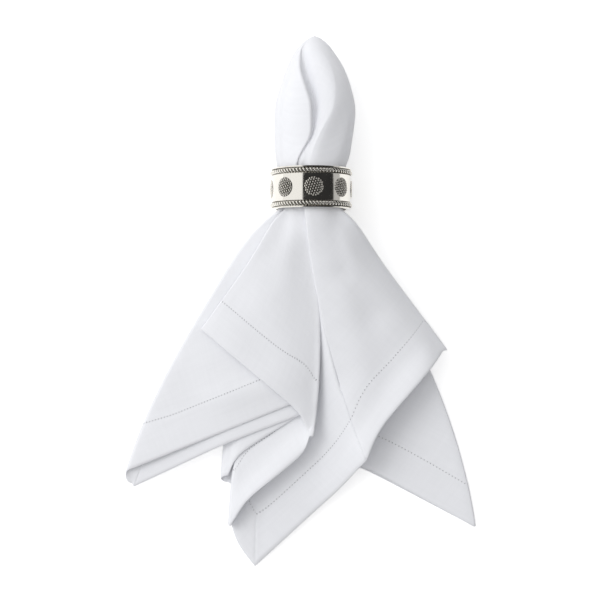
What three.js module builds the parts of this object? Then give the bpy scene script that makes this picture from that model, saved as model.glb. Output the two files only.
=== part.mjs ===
// White hemstitched napkin gathered at its middle and pulled through a polished metal ring.
// It lies on its back on a table: +Z is up, +Y runs along the ring's axis towards the plume.
// Millimetres. The origin is the middle of the bounding box, on the table.
import * as THREE from 'three';

// Napkin sheet
const SHEET_THICKNESS = 1.0;

// Rows of points: parts of the way through the bore, distances below the ring, and steps on to the hem.
// A fold is turned in the steps of FOLD_TURNS, and PANEL_RAYS rays lie between two folds.
const BORE_PARTS = [0.22, 0.46, 0.72];
const NEAR_STEPS = [0, 4, 8, 13, 19, 26];
const FAR_STEPS = 6;
const FOLD_TURNS = [0, 60, 120, 180];
const FOLD_SPAN = 0.25;
const PANEL_RAYS = 1;

// Ring: a band whose axis lies along Y, with a seat near each end for a twisted-wire rim
const RING_X = 6.5;
const RING_Z = 24.05;
const RING_MOUTH_Y = 52.3;
const RING_HEIGHT = 23.5;
const RING_CROWN_Y = RING_MOUTH_Y + RING_HEIGHT;
const BORE_RADIUS = 20.4;
const BAND_RADIUS = 23.0;
const SEAT_RADIUS = 21.1;
const LIP_RADIUS = 23.2;
const BAND_SEGMENTS = 64;
const PIECE_GAP = 0.3;
const RIM_WIRE_RADIUS = 1.3;
const RIM_RADIUS = 22.72;
const RIM_FROM_MIDDLE = 9.3;
const RIM_SIDES = 4;
const RIM_TURNS = 18;
const RIM_SEGMENTS = 144;

// Beaded bosses round the middle of the band, as low domes
const BOSS_COUNT = 8;
const BOSS_RADIUS = 5.5;
const BOSS_CROWN = 1.0;
const BOSS_EDGE = 0.6;
const BOSS_FIRST_ANGLE = 3.4;
const BOSS_SEGMENTS = 12;
const BOSS_TOP_RINGS = [0.5, 0.85, 1];
const BOSS_BASE_RINGS = [1, 0.5];

// The gathered cloth where it fills the bore
const PACK_RADIUS = 19.3;
const PACK_FLAT = 14.0;
const SPREAD_LENGTH = 24.0;
const NECK_ROLL = 0.8;
const FLOOR_CLEARANCE = SHEET_THICKNESS / 2;

// Height of the cloth's top over the table, by distance below the ring
const TOP_HEIGHTS = [
  { below: 0, top: 43.0 },
  { below: 15, top: 42.0 },
  { below: 30, top: 38.0 },
  { below: 50, top: 33.0 },
  { below: 75, top: 28.0 },
  { below: 100, top: 24.0 },
  { below: 125, top: 20.0 },
  { below: 150, top: 18.0 },
  { below: 175, top: 14.0 },
  { below: 212, top: 9.0 },
];

// Half width and middle of the skirt, by distance below the ring
const SPREADS = [
  { below: 0, middle: 8.0, half: 25.0 },
  { below: 20, middle: 2.0, half: 44.0 },
  { below: 58, middle: 3.5, half: 68.0 },
  { below: 87, middle: 3.5, half: 82.0 },
  { below: 145, middle: -3.0, half: 97.0 },
  { below: 212, middle: -3.0, half: 110.0 },
];
const SIDE_FALL = 0.25;
const SIDE_LIMIT = 1.3;

// Level of each layer where it leaves the ring, 0 the back one and 1 the front one
const NECK_LEVELS = {
  backFlat: 0.0,
  backReturn: 0.095,
  backLeft: 0.19,
  tailFront: 0.28,
  rightReturn: 0.37,
  middleTail: 0.46,
  middleInner: 0.55,
  leftInner: 0.64,
  leftTailBack: 0.73,
  leftTailFront: 0.82,
  frontLeftReturn: 0.91,
  frontLeft: 1.0,
  frontRight: 1.0,
};

// Every fold, hem bend and corner, in order round the hem. neckX is from the ring's axis, side is 1
// for a fold on the right and -1 on the left. levelIn and levelOut are at the hem, bow and flare are
// sideways, roll is the fold's rounding and turn is the angle round the plume, null at its groove.
const FOLD_COLUMNS = [
  'name', 'from', 'to', 'side', 'neckX', 'hemX', 'hemY', 'levelIn', 'levelOut', 'bow', 'flare', 'roll', 'turn',
];
const FOLDS = [
  ['innerLeftFold', 'middleTail', 'middleInner', -1, -13, -39.5, -133.9, 0.46, 0.62, -6, 0, 1.5, null],
  ['innerHemLow', 'middleInner', null, 0, -11.5, -32.6, -118.1, 0.59, 0.59, -4, 0, 0, null],
  ['innerHemHigh', 'middleInner', null, 0, -9.7, 3.0, -89.3, 0.55, 0.55, 2, -2.5, 0, null],
  ['frontLeftRoll', 'middleInner', 'frontLeft', 1, -7.5, 5.5, -79.3, 0.55, 1.0, 5.5, -3, 2.2, null],
  ['frontLeftHem', 'frontLeft', null, 0, -9.8, 0.5, -65.4, 1.0, 1.0, 4, -3, 0, -50],
  ['frontLeftFold', 'frontLeft', 'frontLeftReturn', -1, -12.8, -57, -17.3, 1.0, 0.93, 0, -3, 2.4, -66],
  ['hiddenRightFold', 'frontLeftReturn', 'leftTailFront', 1, -10.2, 0, -58.6, 0.93, 0.86, 3, -3, 1.2, -72],
  ['leftTailRoll', 'leftTailFront', 'leftTailBack', -1, -15.6, -101, -101.2, 0.86, 0.15, -11, -5, 3, -78],
  ['leftTailCorner', 'leftTailBack', null, 0, -14.9, -100.5, -111.1, 0.12, 0.12, -8, -4, 0, -83],
  ['leftTailLift', 'leftTailBack', null, 0, -13.5, -46.2, -85.2, 0.75, 0.75, -4, -2, 0, -85],
  ['leftTailHidden', 'leftTailBack', 'leftInner', 1, -10.2, 0, -67.1, 0.77, 0.68, 3, -3, 1.2, -88],
  ['outerLeftFold', 'leftInner', 'backLeft', -1, -15.0, -42, -93.9, 0.68, 0.19, -6, -4, 2.5, -93],
  ['backLeftEdge', 'backLeft', null, 0, -12, -35.8, -114.6, 0.19, 0.19, -4, -2, 0, -96],
  ['backLeftHem', 'backLeft', null, 0, 3, 26.8, -101.3, 0.19, 0.19, 2, 0, 0, -100],
  ['backRightFold', 'backLeft', 'backReturn', 1, 9, 75, -44.8, 0.19, 0.095, 3, 2, 2.4, -109],
  ['backReturnHem', 'backReturn', null, 0, 2, 26.9, -99.2, 0.095, 0.095, 2, 0, 0, -112],
  ['backLeftTurn', 'backReturn', 'backFlat', -1, -9, -34.5, -107.7, 0.095, 0, -3, 0, 1, -122],
  ['hiddenCorner', 'backFlat', null, 0, -6, -22.7, -140.6, 0, 0, -2, 0, 0, -150],
  ['backFlatHem', 'backFlat', null, 0, 4, 31.1, -96.9, 0, 0, 6, 0, 0, -195],
  ['rightTailFold', 'backFlat', 'tailFront', 1, 14, 103.6, -135, 0, 0.28, 14, 2, 1.2, -255],
  ['rightTailHem', 'tailFront', null, 0, 3, 36.9, -97.7, 0.28, 0.28, 6, 0, 0, -262],
  ['rightHiddenFold', 'tailFront', 'rightReturn', -1, -10, -28, -108.5, 0.28, 0.37, -2, 0, 1, -268],
  ['rightReturnHem', 'rightReturn', null, 0, 2, 29.8, -92.8, 0.37, 0.37, 3, 0, 0, -274],
  ['frontRightFold', 'rightReturn', 'frontRight', 1, 14.1, 84.5, -29.6, 0.37, 0.7, 1, 3, 2.5, -280],
  ['frontRightEdge', 'frontRight', null, 0, 13, 79, -36.6, 0.85, 0.85, 1, 2, 0, -292],
  ['frontRightHem', 'frontRight', null, 0, 5, 45.7, -75.1, 1.0, 1.0, 0, 0, 0, -325],
  ['ridge', 'frontRight', null, 0, -3.5, 38.8, -92.8, 1.0, 1.0, -5.3, 0, 0, null],
  ['ridgeFoot', 'middleTail', null, 0, -3.8, 24, -111, 0.5, 0.5, -1, 0, 0, null],
  ['middleTailHem', 'middleTail', null, 0, -6, 15, -119.5, 0.46, 0.46, -2, 0, 0, null],
  ['middleTailCorner', 'middleTail', null, 0, -11, -26.9, -158.7, 0.46, 0.46, -5, 0, 0, null],
  ['middleTailEdge', 'middleTail', null, 0, -12, -37.5, -145.4, 0.46, 0.46, -6, 0, 0, null],
].map((row) => Object.fromEntries(row.map((value, index) => [FOLD_COLUMNS[index], value])));
const FLARE_FALL = 8;
const FLARE_SCALE = 23.1;

// Groove of the plume: rounding of its lips, depth at which its walls turn steep, and its floor
const LIP_ROUNDING = 1.5;
const GROOVE_SOFT = 4.5;
const FLOOR_SHARE = 0.06;
const FLOOR_WIDTH = 0.45;
const WALL_POWER = 0.45;
const DEPTH_POWER = 1.6;

// Sections of the plume above the ring: its outline, front and back, and the groove between its two lobes
const PLUME_TIP = { y: 154.3, x: 8.6, z: 18 };
const CROWN_RADIUS = 19.0;
const CROWN_INSET = 1.2;
const PLUME = [
  { y: 152.6, left: 5.0, right: 12.0, back: 15.0, front: 22.0, lipLeft: 6.2, lipRight: 10.0, groove: 0 },
  { y: 149.0, left: 0.5, right: 16.3, back: 11.5, front: 27.0, lipLeft: 3.0, lipRight: 8.0, groove: 0 },
  { y: 143.8, left: -3.5, right: 20.0, back: 8.5, front: 31.0, lipLeft: -0.3, lipRight: 5.7, groove: 2 },
  { y: 134.6, left: -7.7, right: 25.5, back: 6.0, front: 36.0, lipLeft: 1.4, lipRight: 8.8, groove: 12 },
  { y: 123.0, left: -11.6, right: 29.6, back: 4.0, front: 40.0, lipLeft: 4.0, lipRight: 11.9, groove: 16 },
  { y: 110.2, left: -14.6, right: 32.1, back: 3.5, front: 42.0, lipLeft: 7.2, lipRight: 12.5, groove: 18 },
  { y: 95.7, left: -14.7, right: 30.5, back: 4.0, front: 43.0, lipLeft: 5.4, lipRight: 9.9, groove: 18 },
  { y: 81.2, left: -13.9, right: 28.1, back: 5.0, front: 43.0, lipLeft: -0.9, lipRight: 4.3, groove: 18 },
  {
    y: RING_CROWN_Y - CROWN_INSET, left: RING_X - CROWN_RADIUS, right: RING_X + CROWN_RADIUS,
    back: RING_Z - CROWN_RADIUS, front: RING_Z + CROWN_RADIUS, lipLeft: -1.7, lipRight: 3.0, groove: 18,
  },
];

const radians = THREE.MathUtils.degToRad;
const mix = THREE.MathUtils.lerp;
const ease = (value) => THREE.MathUtils.smoothstep(value, 0, 1);

function makeGeometry(positions, indices) {
  const geometry = new THREE.BufferGeometry();
  geometry.setAttribute('position', new THREE.Float32BufferAttribute(positions, 3));
  geometry.setIndex(indices);
  return geometry;
}

// Value of a table's column, between the rows on either side of a place
function lookUp(table, key, at, column) {
  const next = table.findIndex((row) => row[key] >= at);
  if (next === 0) return table[0][column];
  if (next < 0) return table[table.length - 1][column];
  const low = table[next - 1];
  const high = table[next];
  return mix(low[column], high[column], (at - low[key]) / (high[key] - low[key]));
}

// Height of a layer of the skirt over the table
function layerHeight(x, y, level) {
  const below = Math.max(RING_MOUTH_Y - y, 0);
  const across = Math.min(Math.abs(x - RING_X), PACK_FLAT);
  const arch = Math.sqrt(PACK_RADIUS ** 2 - across ** 2);
  const sideways = (x - lookUp(SPREADS, 'below', below, 'middle')) / lookUp(SPREADS, 'below', below, 'half');
  const fall = 1 - SIDE_FALL * Math.min(sideways ** 2, SIDE_LIMIT);
  const draped = lookUp(TOP_HEIGHTS, 'below', below, 'top') * fall;
  const spread = ease(below / SPREAD_LENGTH);
  const top = mix(RING_Z + arch, draped, spread);
  const bottom = mix(RING_Z - arch, FLOOR_CLEARANCE, spread);
  return mix(bottom, top, level);
}

// Rays of cloth from the plume's tip to the hem: those of the folds, and some between them
function layRays() {
  const rays = [];
  FOLDS.forEach((fold, index) => {
    const next = FOLDS[(index + 1) % FOLDS.length];
    const neckIn = NECK_LEVELS[fold.from];
    const neckOut = fold.to ? NECK_LEVELS[fold.to] : neckIn;
    const turns = fold.side ? FOLD_TURNS : [180];
    turns.forEach((turn) => {
      const share = (1 - Math.cos(radians(turn))) / 2;
      rays.push({
        knot: index + (fold.side ? (turn / 90 - 1) * FOLD_SPAN : 0),
        neckX: fold.neckX,
        neckLevel: mix(neckIn, neckOut, share),
        hemX: fold.hemX,
        hemY: fold.hemY,
        hemLevel: mix(fold.levelIn, fold.levelOut, share),
        bow: fold.bow,
        flare: fold.flare,
        roll: fold.side * fold.roll * Math.sin(radians(turn)),
      });
    });
    const nextNeck = NECK_LEVELS[next.from];
    for (let step = 1; step <= PANEL_RAYS; step += 1) {
      const part = step / (PANEL_RAYS + 1);
      const start = index + (fold.side ? FOLD_SPAN : 0);
      const end = index + 1 - (next.side ? FOLD_SPAN : 0);
      rays.push({
        knot: mix(start, end, part),
        neckX: mix(fold.neckX, next.neckX, part),
        neckLevel: mix(neckOut, nextNeck, part),
        hemX: mix(fold.hemX, next.hemX, part),
        hemY: mix(fold.hemY, next.hemY, part),
        hemLevel: mix(fold.levelOut, next.levelIn, part),
        bow: mix(fold.bow, next.bow, part),
        flare: mix(fold.flare, next.flare, part),
        roll: 0,
      });
    }
  });
  return rays;
}

// Place on the skirt, reach 0 at the ring's mouth and 1 at the hem
function skirtPoint(ray, reach) {
  const open = mix(NECK_ROLL, 1, ease(reach * 3));
  const bump = FLARE_SCALE * reach * (1 - reach) ** FLARE_FALL;
  const x = mix(RING_X + ray.neckX, ray.hemX, reach) + ray.bow * 4 * reach * (1 - reach)
    + ray.flare * bump + ray.roll * open;
  const y = mix(RING_MOUTH_Y, ray.hemY, reach);
  const level = mix(ray.neckLevel, ray.hemLevel, ease(reach));
  return new THREE.Vector3(x, y, layerHeight(x, y, level));
}

// A shallow groove is a soft dimple and a deep one has steep walls
const grooveSteepness = (section) => THREE.MathUtils.clamp((section.groove - GROOVE_SOFT) / GROOVE_SOFT, 0, 1);

// Place on a section of the plume: round the outside, or down the groove between the lobes
function plumePoint(ray, section) {
  const lipIn = FOLDS.findIndex((fold) => fold.name === 'frontLeftRoll');
  const lipOut = FOLDS.findIndex((fold) => fold.name === 'ridge');
  const middle = (section.left + section.right) / 2;
  const halfWidth = (section.right - section.left) / 2;
  const halfDepth = (section.front - section.back) / 2;
  const centreZ = (section.front + section.back) / 2;
  const angleOf = (x) => Math.asin(THREE.MathUtils.clamp((x - middle) / halfWidth, -1, 1));
  const outside = (angle) => ({
    x: middle + halfWidth * Math.sin(angle),
    z: centreZ + halfDepth * Math.cos(angle),
  });
  const fromLip = ray.knot - lipIn;
  const radius = LIP_ROUNDING * grooveSteepness(section);
  if (Math.abs(fromLip) <= FOLD_SPAN && radius > 0) {
    const swing = radians(45 + 45 * fromLip / FOLD_SPAN);
    const x = section.lipLeft - radius * (1 - Math.cos(swing));
    return new THREE.Vector3(x, section.y, outside(angleOf(x)).z - radius * (1 - Math.sin(swing)));
  }
  if (ray.knot >= lipIn && ray.knot <= lipOut) {
    const stops = FOLDS.map((fold) => radians(fold.turn ?? 0));
    stops[lipIn] = angleOf(section.lipLeft - radius);
    stops[lipOut] = angleOf(section.lipRight) - Math.PI * 2;
    const low = Math.min(Math.floor(ray.knot), lipOut - 1);
    const place = outside(mix(stops[low], stops[low + 1], ray.knot - low));
    return new THREE.Vector3(place.x, section.y, place.z);
  }
  const rightRays = FOLDS.length - lipOut;
  const toFloor = ray.knot > lipOut ? FOLDS.length - ray.knot : -ray.knot;
  const off = toFloor > 0 ? toFloor / rightRays : toFloor / lipIn;
  const steep = grooveSteepness(section);
  const away = Math.abs(off) < FLOOR_SHARE ? Math.abs(off) / FLOOR_SHARE * FLOOR_WIDTH
    : FLOOR_WIDTH + (1 - FLOOR_WIDTH) * ((Math.abs(off) - FLOOR_SHARE) / (1 - FLOOR_SHARE)) ** WALL_POWER;
  const wall = 0.5 + 0.5 * mix(off, Math.sign(off) * away, steep);
  const x = mix(section.lipLeft, section.lipRight, wall);
  const sunk = section.groove * mix(Math.cos(off * Math.PI / 2) ** 2, 1 - Math.abs(off) ** DEPTH_POWER, steep);
  return new THREE.Vector3(x, section.y, outside(angleOf(x)).z - sunk);
}

// All places along one ray, from the plume's tip to the hem
function rayPoints(ray) {
  const points = PLUME.map((section) => plumePoint(ray, section));
  const crown = PLUME[PLUME.length - 1];
  for (const part of BORE_PARTS) {
    const packed = skirtPoint(ray, 0);
    const place = plumePoint(ray, crown).lerp(packed, Math.sin(part * Math.PI / 2));
    place.y = mix(crown.y, RING_MOUTH_Y, part);
    points.push(place);
  }
  const drop = RING_MOUTH_Y - ray.hemY;
  const nearEnd = NEAR_STEPS[NEAR_STEPS.length - 1] / drop;
  NEAR_STEPS.forEach((below) => points.push(skirtPoint(ray, below / drop)));
  for (let step = 1; step <= FAR_STEPS; step += 1) {
    points.push(skirtPoint(ray, mix(nearEnd, 1, step / FAR_STEPS)));
  }
  return points;
}

// Direction of a line through three of its points
function bisect(before, point, after) {
  const arriving = point.clone().sub(before).normalize();
  const leaving = after.clone().sub(point).normalize();
  return arriving.add(leaving);
}

// One closed solid: the sheet's two faces, joined along the hem
function buildNapkin() {
  const grid = layRays().map(rayPoints);
  const count = grid.length;
  const rows = grid[0].length;
  const tip = new THREE.Vector3(PLUME_TIP.x, PLUME_TIP.y, PLUME_TIP.z);
  const normals = grid.map((points, column) => points.map((point, row) => {
    const around = bisect(grid[(column + count - 1) % count][row], point, grid[(column + 1) % count][row]);
    const along = bisect(row > 0 ? points[row - 1] : tip, point, points[Math.min(row + 1, rows - 1)]);
    return around.cross(along).normalize();
  }));
  const positions = [];
  const addPoint = (point) => positions.push(point.x, point.y, Math.max(point.z, 0));
  const half = SHEET_THICKNESS / 2;
  for (const way of [half, -half]) {
    addPoint(tip.clone().add(new THREE.Vector3(0, way, 0)));
    grid.forEach((points, column) => points.forEach((point, row) => {
      addPoint(point.clone().addScaledVector(normals[column][row], way));
    }));
  }
  const layer = 1 + count * rows;
  const vertex = (side, column, row) => side * layer + 1 + (column % count) * rows + row;
  const indices = [];
  for (let column = 0; column < count; column += 1) {
    const next = column + 1;
    indices.push(0, vertex(0, next, 0), vertex(0, column, 0));
    indices.push(layer, vertex(1, column, 0), vertex(1, next, 0));
    for (let row = 0; row < rows - 1; row += 1) {
      const corners = [[column, row], [next, row], [next, row + 1], [column, row + 1]];
      const outer = corners.map(([across, along]) => vertex(0, across, along));
      const inner = corners.map(([across, along]) => vertex(1, across, along));
      indices.push(outer[0], outer[1], outer[2], outer[0], outer[2], outer[3]);
      indices.push(inner[0], inner[2], inner[1], inner[0], inner[3], inner[2]);
    }
    const hem = rows - 1;
    const edge = [vertex(0, column, hem), vertex(0, next, hem), vertex(1, next, hem), vertex(1, column, hem)];
    indices.push(edge[0], edge[1], edge[2], edge[0], edge[2], edge[3]);
  }
  return makeGeometry(positions, indices);
}

// The band: a profile of radius and height along the ring's axis, turned round that axis
function buildBand() {
  const end = RING_HEIGHT / 2;
  const seatHalf = RIM_WIRE_RADIUS + PIECE_GAP;
  const upper = [
    [BAND_RADIUS, RIM_FROM_MIDDLE - seatHalf],
    [SEAT_RADIUS, RIM_FROM_MIDDLE - seatHalf],
    [SEAT_RADIUS, RIM_FROM_MIDDLE + seatHalf],
    [LIP_RADIUS, RIM_FROM_MIDDLE + seatHalf],
    [LIP_RADIUS, end],
    [BORE_RADIUS, end],
  ];
  const lower = upper.map(([radius, height]) => [radius, -height]).reverse();
  const profile = [...lower, ...upper, lower[0]].map(([radius, height]) => new THREE.Vector2(radius, height));
  return new THREE.LatheGeometry(profile, BAND_SEGMENTS);
}

// A wire of RIM_SIDES sides, twisted as it runs round the ring, so that its corners make slanting ridges
function buildRim() {
  const rings = [];
  for (let segment = 0; segment < RIM_SEGMENTS; segment += 1) {
    const around = Math.PI * 2 * segment / RIM_SEGMENTS;
    const ring = [];
    for (let side = 0; side < RIM_SIDES; side += 1) {
      const twist = Math.PI * 2 * side / RIM_SIDES - around * RIM_TURNS;
      const radius = RIM_RADIUS + RIM_WIRE_RADIUS * Math.cos(twist);
      const height = RIM_WIRE_RADIUS * Math.sin(twist);
      ring.push([radius * Math.sin(around), height, radius * Math.cos(around)]);
    }
    rings.push(ring);
  }
  const vertex = (segment, side) => (segment % RIM_SEGMENTS) * RIM_SIDES + (side % RIM_SIDES);
  const indices = [];
  for (let segment = 0; segment < RIM_SEGMENTS; segment += 1) {
    for (let side = 0; side < RIM_SIDES; side += 1) {
      const here = vertex(segment, side);
      const above = vertex(segment, side + 1);
      const next = vertex(segment + 1, side);
      const nextAbove = vertex(segment + 1, side + 1);
      indices.push(here, next, nextAbove, here, nextAbove, above);
    }
  }
  return makeGeometry(rings.flat(2), indices);
}

// A low dome whose underside follows the band, at an angle round the ring
function buildBoss(angle) {
  const place = (fraction, segment, height) => {
    const turn = Math.PI * 2 * segment / BOSS_SEGMENTS;
    const radius = BAND_RADIUS + height;
    const around = angle + BOSS_RADIUS * fraction * Math.cos(turn) / BAND_RADIUS;
    return [radius * Math.sin(around), BOSS_RADIUS * fraction * Math.sin(turn), radius * Math.cos(around)];
  };
  const rise = (fraction) => mix(BOSS_CROWN, BOSS_EDGE, fraction ** 2);
  const rings = [
    ...BOSS_TOP_RINGS.map((fraction) => [fraction, rise(fraction)]),
    ...BOSS_BASE_RINGS.map((fraction) => [fraction, PIECE_GAP]),
  ];
  const positions = [...place(0, 0, BOSS_CROWN), ...place(0, 0, PIECE_GAP)];
  rings.forEach(([fraction, height]) => {
    for (let segment = 0; segment < BOSS_SEGMENTS; segment += 1) {
      positions.push(...place(fraction, segment, height));
    }
  });
  const vertex = (ring, segment) => 2 + ring * BOSS_SEGMENTS + (segment % BOSS_SEGMENTS);
  const indices = [];
  for (let segment = 0; segment < BOSS_SEGMENTS; segment += 1) {
    indices.push(0, vertex(0, segment), vertex(0, segment + 1));
    for (let ring = 0; ring < rings.length - 1; ring += 1) {
      const inner = [vertex(ring, segment), vertex(ring, segment + 1)];
      const outer = [vertex(ring + 1, segment), vertex(ring + 1, segment + 1)];
      indices.push(inner[0], outer[0], outer[1], inner[0], outer[1], inner[1]);
    }
    indices.push(1, vertex(rings.length - 1, segment + 1), vertex(rings.length - 1, segment));
  }
  return makeGeometry(positions, indices);
}

const linen = new THREE.MeshStandardMaterial({ color: 0xf4f4f2, roughness: 0.9, metalness: 0 });
const silver = new THREE.MeshStandardMaterial({ color: 0xc9c8c5, roughness: 0.15, metalness: 1 });

function addPiece(group, name, geometry, material) {
  const mesh = new THREE.Mesh(geometry, material);
  mesh.name = name;
  group.add(mesh);
  return mesh;
}

const part = new THREE.Group();
addPiece(part, 'napkin', buildNapkin(), linen);

const ring = new THREE.Group();
ring.position.set(RING_X, (RING_MOUTH_Y + RING_CROWN_Y) / 2, RING_Z);
addPiece(ring, 'ring_band', buildBand(), silver);
addPiece(ring, 'rope_rim_upper', buildRim(), silver).position.y = RIM_FROM_MIDDLE;
addPiece(ring, 'rope_rim_lower', buildRim(), silver).position.y = -RIM_FROM_MIDDLE;
for (let boss = 0; boss < BOSS_COUNT; boss += 1) {
  const angle = radians(BOSS_FIRST_ANGLE + boss * 360 / BOSS_COUNT);
  addPiece(ring, `boss_${boss + 1}`, buildBoss(angle), silver);
}
part.add(ring);

// The origin goes to the middle of the bounding box, at its lowest point
const bounds = new THREE.Box3().setFromObject(part);
const middle = bounds.getCenter(new THREE.Vector3());
part.position.set(-middle.x, -middle.y, -bounds.min.z);

export default part;
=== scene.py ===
"""A hemstitched linen napkin pulled through a silver ring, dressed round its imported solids.

The napkin lies on its back on a table. +Z is up and +Y runs along the ring's axis, from the skirt to
the plume. Sizes are in millimetres until a mesh is made, and in metres from then on.
"""

import logging
import math
from dataclasses import dataclass, field
from enum import Enum
from typing import Optional, Sequence

import bpy
import numpy as np
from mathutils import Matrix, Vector

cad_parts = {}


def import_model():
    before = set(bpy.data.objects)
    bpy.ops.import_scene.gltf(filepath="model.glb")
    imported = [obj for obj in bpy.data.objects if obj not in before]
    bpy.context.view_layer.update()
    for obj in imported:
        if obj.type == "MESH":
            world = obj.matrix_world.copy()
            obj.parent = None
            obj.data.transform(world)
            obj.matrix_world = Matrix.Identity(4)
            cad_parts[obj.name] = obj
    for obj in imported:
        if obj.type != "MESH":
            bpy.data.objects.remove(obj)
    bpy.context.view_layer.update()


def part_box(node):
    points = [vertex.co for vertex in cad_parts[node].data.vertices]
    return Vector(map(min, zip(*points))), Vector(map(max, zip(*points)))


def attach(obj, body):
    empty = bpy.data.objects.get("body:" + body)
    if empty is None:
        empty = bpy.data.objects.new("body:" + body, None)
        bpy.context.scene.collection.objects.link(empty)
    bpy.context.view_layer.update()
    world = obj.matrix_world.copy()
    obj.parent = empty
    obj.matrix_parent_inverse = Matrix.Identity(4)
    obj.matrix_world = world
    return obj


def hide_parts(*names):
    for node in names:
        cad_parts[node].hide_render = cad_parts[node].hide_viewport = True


LOG = logging.getLogger("napkin")
MM = 0.001

# The ring's place in the drawing that the tables below are measured in
RING_X = 6.5
RING_Z = 24.05
RING_MOUTH_Y = 52.3
RING_HEIGHT = 23.5
RING_CROWN_Y = RING_MOUTH_Y + RING_HEIGHT
RING_MIDDLE = Vector((RING_X, RING_MOUTH_Y + RING_HEIGHT / 2, RING_Z))


def ease(value: np.ndarray) -> np.ndarray:
    """Returns a smooth step from 0 to 1 of a value between 0 and 1."""
    clipped = np.clip(value, 0.0, 1.0)
    return clipped * clipped * (3.0 - 2.0 * clipped)


def mix(low: np.ndarray, high: np.ndarray, share: np.ndarray) -> np.ndarray:
    """Returns the value that lies share of the way from low to high."""
    return low + (high - low) * share


def linear(colour: str) -> tuple[float, float, float, float]:
    """Turns an sRGB hex colour into linear light.

    Args:
        colour: six hex digits, with or without a leading mark.

    Returns:
        Red, green, blue and alpha.
    """
    digits = colour.lstrip("#")
    channels = [int(digits[at:at + 2], 16) / 255 for at in (0, 2, 4)]
    return (*[c / 12.92 if c <= 0.04045 else ((c + 0.055) / 1.055) ** 2.4 for c in channels], 1.0)


class SmoothTable:
    """Rows of sizes against one key, read between the rows along a smooth curve that never overshoots."""

    def __init__(self, keys: Sequence[float], columns: dict[str, Sequence[float]]) -> None:
        """Works out the slopes at the rows.

        Args:
            keys: the key of each row, ascending.
            columns: the values of each named column, one for each key.
        """
        self.keys = np.array(keys, float)
        self.columns = {name: np.array(values, float) for name, values in columns.items()}
        self.slopes = {name: self._slopes(values) for name, values in self.columns.items()}

    def _slopes(self, values: np.ndarray) -> np.ndarray:
        """Returns the slope at each row, zero where the values turn round."""
        steps = np.diff(self.keys)
        rises = np.diff(values) / steps
        slopes = np.zeros(len(values))
        slopes[0], slopes[-1] = rises[0], rises[-1]
        same = rises[:-1] * rises[1:] > 0
        inner = np.where(same, 2 * rises[:-1] * rises[1:] / np.where(same, rises[:-1] + rises[1:], 1.0), 0.0)
        slopes[1:-1] = inner
        return slopes

    def read(self, name: str, at: np.ndarray) -> np.ndarray:
        """Reads one column.

        Args:
            name: the column.
            at: keys, held to the table's ends.

        Returns:
            The column's values there.
        """
        place = np.clip(np.asarray(at, float), self.keys[0], self.keys[-1])
        low = np.clip(np.searchsorted(self.keys, place, side="right") - 1, 0, len(self.keys) - 2)
        span = self.keys[low + 1] - self.keys[low]
        t = (place - self.keys[low]) / span
        values, slopes = self.columns[name], self.slopes[name]
        return (
            (2 * t**3 - 3 * t**2 + 1) * values[low]
            + (t**3 - 2 * t**2 + t) * span * slopes[low]
            + (3 * t**2 - 2 * t**3) * values[low + 1]
            + (t**3 - t**2) * span * slopes[low + 1]
        )


@dataclass(frozen=True)
class Fold:
    """A fold, hem bend or corner of the napkin, as one ray of cloth from the plume's tip to the hem.

    side is 1 for a fold on the right, -1 on the left and 0 for a bend. neck_x is from the ring's axis.
    Levels go from 0, the back layer, to 1, the front one. bow and flare are sideways, roll is the
    fold's rounding at the ring and at the hem, and turn is its angle round the plume, or None at
    the plume's groove. slide is how far the hem runs on along the fold as it turns.
    """

    name: str
    panel_in: str
    panel_out: Optional[str]
    side: int
    neck_x: float
    hem_x: float
    hem_y: float
    level_in: float
    level_out: float
    bow: float
    flare: float
    roll: tuple[float, float]
    turn: Optional[float]
    slide: float = 0.0


# Level of each layer where it leaves the ring
NECK_LEVELS = {
    "back_flat": 0.0,
    "back_pleat_low": 0.05,
    "back_pleat_high": 0.1,
    "back_return": 0.15,
    "back_left": 0.2,
    "tail_front": 0.28,
    "right_return": 0.37,
    "middle_tail": 0.46,
    "valley_floor": 0.62,
    "middle_inner": 0.55,
    "left_inner": 0.64,
    "left_tail_back": 0.72,
    "left_tail_front": 0.83,
    "front_left_return": 0.9,
    "front_left": 0.95,
    "flank": 0.9,
    "valley": 0.78,
    "roll_inner": 0.82,
    "roll_outer": 0.9,
    "front_right": 1.0,
}

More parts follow.
